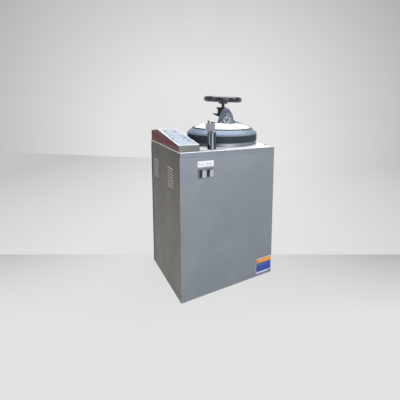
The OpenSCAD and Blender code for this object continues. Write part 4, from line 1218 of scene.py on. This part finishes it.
def pierced_wall(r, z0, z1, columns, rows_, size):
    """A sheet cylinder of cells, each with a round hole in it."""
    verts, faces, seen = [], [], {}

    def vert(u, z):
        key = (round(u, 6) % round(2 * math.pi, 6), round(z, 3))
        if key not in seen:
            seen[key] = len(verts)
            verts.append((r * math.cos(u), r * math.sin(u), z))
        return seen[key]

    du = 2 * math.pi / columns
    dz = (z1 - z0) / rows_
    for j in range(rows_):
        for i in range(columns):
            cu = (i + 0.5) * du
            cz = z0 + (j + 0.5) * dz
            square, ring_ = [], []
            for k in range(8):
                a = math.pi / 4 * k
                c, s = math.cos(a), math.sin(a)
                m = max(abs(c), abs(s))
                square.append(vert(cu + c / m * du / 2, cz + s / m * dz / 2))
                ring_.append(vert(cu + c * size / r, cz + s * size))
            for k in range(8):
                n_ = (k + 1) % 8
                faces.append([square[k], square[n_], ring_[n_], ring_[k]])
    return skin(verts, faces, 0.8)


def basket_piece(name, node):
    lo, hi = box(node)
    r = (hi[0] - lo[0]) / 2
    z0, z1 = lo[2], hi[2]
    parts = [pierced_wall(r - 0.2, z0 + 8, z1 - 12, 84, 20, 3.0)]
    discs = [circle(0, 0, r - 7, 96)]
    for row in range(1, 9):
        discs += [circle(*polar(15.4 * row, 60 * k / row), 3.4, 10) for k in range(6 * row)]
    parts.append(plate(discs, 1, 0, at(0, 0, z0)))
    base = [(-7.1, 0), (-1.6, 1.2), (-0.1, 5), (-0.1, 8.4), (-0.9, 8.4), (-0.9, 5.2), (-2.2, 2.2),
            (-6, 1), (-7.1, 1)]
    parts.append(lathe(shifted(base, r, z0), n=96, closed=True))
    parts.append(lathe(rect(r - 0.9, z1 - 12.4, r - 0.1, z1 - 4), n=96, closed=True))
    parts.append(lathe(circle(r - 2.2, z1 - 2.2, 2.1, 12), n=96, closed=True))
    bar_z = z1 - 14
    parts.append(tube([(-r + 1.5, 0, bar_z), (r - 1.5, 0, bar_z)], 3.6, 20))
    for s in (-1, 1):
        boss_ = lathe([(6.5, -1.4), (6.5, 0.4), (5.6, 1.4), (3.6, 1.6)], n=24)
        parts.append(moved(boss_, at(s * (r - 2.4), 0, bar_z) @ turned(-90 * s, "Y")))
    keep(name, moved(merge(*parts), on_axis()), VESSEL_STEEL, "cabinet", (node,), 40)


basket_piece("basket_low", "lower_basket")
basket_piece("basket_high", "upper_basket")

# ---------------------------------------------------------------- CAD nodes kept as they are

KEPT = (
    (FRAME_PAINT, ("frame",)), (BASE_STEEL, ("base_plate",)), (RUBBER, ("levelling_feet",)),
    (POCKET_STEEL, ("service_pocket",)), (VESSEL_STEEL, ("vessel_shell",)), (WOOL, ("insulation_jacket",)),
    (HEATER, ("heating_element",)), (PLATE_STEEL, ("basket_rack",)), (COPPER, ("pipework",)),
    (BRASS, ("vessel_sensors", "safety_valve", "drain_valve")), (BOARD, ("power_module",)),
    (RED, ("safety_valve_lever", "drain_valve_lever")), (BLACK, ("exhaust_valve", "cable_gland")),
    (ZINC, ("panel_screws", "bar_guides", "crosshead")),
    (BRIGHT, ("locking_bar_front_left", "locking_bar_front_right")),
    (BRIGHT, ("locking_bar_rear_right", "locking_bar_rear_left")),
)
for mat, nodes in KEPT:
    for node in nodes:
        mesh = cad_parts[node].data
        mesh.materials.clear()
        mesh.materials.append(mat)

# ---------------------------------------------------------------- stage, light and camera

SEAM_NORMAL = (0.5605, 0.8281, 0)
SEAM_ALONG = (0.8281, -0.5605, 0)
SEAM_AT = 0.138


def glow(shader, value):
    """Makes a backdrop glow like a light table, under a thin diffuse layer; where the glow's strength
    falls off across the backdrop, it is painted light standing in for a pool of lamp light.
    """
    tint = shader.node("CombineColor")
    for channel, k in (("Red", 1.0), ("Green", 1.0), ("Blue", 1.005)):
        part = shader.math("MULTIPLY", value, k)
        shader.link(part, tint.inputs[channel])
    shader.link(tint.outputs["Color"], shader.shader.inputs["Emission Color"])
    shader.set("Emission Strength", 0.94)


floor = Shader("studio_floor", (0.035, 0.035, 0.035), 0.0, 0.75, Specular_IOR_Level=0.1)
floor_noise = floor.noise(1.4, 3)
floor.colour(floor.ramp(floor_noise, (0.033, 0.033, 0.034), (0.037, 0.037, 0.037)))
floor.bump(floor.noise(60, 2), 0.02, 0.0005)
# Painted light: the floor's glow falls off from the front towards the seam, more so to the sides, and
# beyond the seam it falls off to the sides.
depth = floor.dot(SEAM_NORMAL)
aside = floor.math("ABSOLUTE", floor.math("ADD", floor.dot(SEAM_ALONG), 0.2), 0)
near_fade = floor.math("MULTIPLY", floor.ramp(depth, 0.0, 1.0, SEAM_AT - 0.62, SEAM_AT),
                       floor.ramp(aside, 0.04, 0.32, 0.35, 1.35))
near_glow = floor.math("SUBTRACT", 0.753, near_fade)
far_glow = floor.ramp(aside, 0.75, 0.53, 0.7, 2.6)
beyond = floor.math("GREATER_THAN", depth, SEAM_AT)
gap = floor.math("SUBTRACT", far_glow, near_glow)
glow(floor, floor.math("ADD", near_glow, floor.math("MULTIPLY", gap, beyond)))

wall = Shader("studio_wall", (0.06, 0.06, 0.06), 0.0, 0.9)
wall_noise = wall.noise(0.9, 3)
wall.colour(wall.ramp(wall_noise, (0.057, 0.057, 0.057), (0.063, 0.063, 0.063)))
distance = wall.node("VectorMath")
distance.operation = "LENGTH"
wall.link(wall.coord, distance.inputs[0])
# Painted light: the wall's glow falls off with distance from the middle of its foot.
glow(wall, wall.ramp(distance.outputs["Value"], 0.752, 0.42, 1.36, 4.0))

CAM = Vector((-0.7071, -1.6976, 1.0077))
AZ, EL, ROLL = math.radians(38.727), math.radians(7.574), math.radians(2.269)
FORWARD = Vector((math.sin(AZ) * math.cos(EL), math.cos(AZ) * math.cos(EL), -math.sin(EL)))
LEVEL = Vector((math.cos(AZ), -math.sin(AZ), 0))
DOWN = FORWARD.cross(LEVEL)
cam_right = LEVEL * math.cos(ROLL) - DOWN * math.sin(ROLL)
cam_down = LEVEL * math.sin(ROLL) + DOWN * math.cos(ROLL)

floor_mesh = raw([(-9, -9, 0), (9, -9, 0), (9, 9, 0), (-9, 9, 0)], [[0, 1, 2, 3]])
floor_obj = bpy.data.objects.new("studio_floor", floor_mesh)
wall_mesh = raw([(-14, 0, -0.01), (14, 0, -0.01), (14, 0, 7), (-14, 0, 7)], [[0, 1, 2, 3]])
wall_obj = bpy.data.objects.new("studio_wall", wall_mesh)
level_fwd = Vector((FORWARD.x, FORWARD.y, 0)).normalized()
WALL_D = 3.2
wall_turn = level_fwd.to_track_quat("-Y", "Z").to_matrix().to_4x4()
wall_obj.matrix_world = Matrix.Translation(level_fwd * WALL_D - LEVEL * 1.15) @ wall_turn
for o, shader in ((floor_obj, floor), (wall_obj, wall)):
    o.data.materials.append(shader.mat)
    scene.collection.objects.link(o)

world = bpy.data.worlds.new("studio")
scene.world = world
world.use_nodes = True
sky_nodes = world.node_tree.nodes
sky_nodes.clear()
sky_out, sky, sky_coord, sky_split, sky_ramp = [sky_nodes.new("ShaderNode" + kind) for kind in (
    "OutputWorld", "Background", "TexCoord", "SeparateXYZ", "ValToRGB")]
for output, socket in ((sky_coord.outputs["Generated"], sky_split.inputs["Vector"]),
                       (sky_split.outputs["Z"], sky_ramp.inputs["Fac"]),
                       (sky_ramp.outputs["Color"], sky.inputs["Color"]),
                       (sky.outputs["Background"], sky_out.inputs["Surface"])):
    world.node_tree.links.new(output, socket)
for stop, position, colour in zip(sky_ramp.color_ramp.elements, (0.0, 0.8),
                                  ((0.30, 0.31, 0.33, 1), (0.95, 0.96, 1.0, 1))):
    stop.position = position
    stop.color = colour
sky.inputs["Strength"].default_value = 0.75


def area(name, place, target, size, power, colour=(1, 1, 1)):
    """A square lamp that looks at a point."""
    light = bpy.data.lights.new(name, "AREA")
    light.shape = "SQUARE"
    light.size = size
    light.energy = power
    light.color = colour
    obj = bpy.data.objects.new(name, light)
    obj.location = place
    obj.rotation_euler = (Vector(target) - Vector(place)).to_track_quat("-Z", "Y").to_euler()
    scene.collection.objects.link(obj)


area("overhead", (0.3, 0.2, 3.2), (0.05, 0, 0.8), 3.0, 99)
area("key_right", (2.6, -2.2, 2.3), (0, -0.1, 0.6), 1.2, 22, (0.96, 0.98, 1.0))
area("fill_front", (-0.2, -3.6, 1.5), (0, 0, 0.5), 2.2, 34, (0.95, 0.97, 1.0))
area("left_warm", (-3.2, -0.4, 1.2), (0, 0, 0.4), 1.4, 9, (1.0, 0.90, 0.80))

cam_data = bpy.data.cameras.new("camera")
cam_data.sensor_fit = "HORIZONTAL"
cam_data.sensor_width = 36
cam_data.lens = 28.0
cam_data.shift_x = -0.251
cam_data.shift_y = -0.1435
cam_data.clip_start = 0.05
cam_data.clip_end = 60
camera = bpy.data.objects.new("camera", cam_data)
rows_m = Matrix((cam_right, -cam_down, -FORWARD)).transposed()
camera.matrix_world = Matrix.Translation(CAM) @ rows_m.to_4x4()
scene.collection.objects.link(camera)
scene.camera = camera
scene.view_settings.view_transform = "Standard"
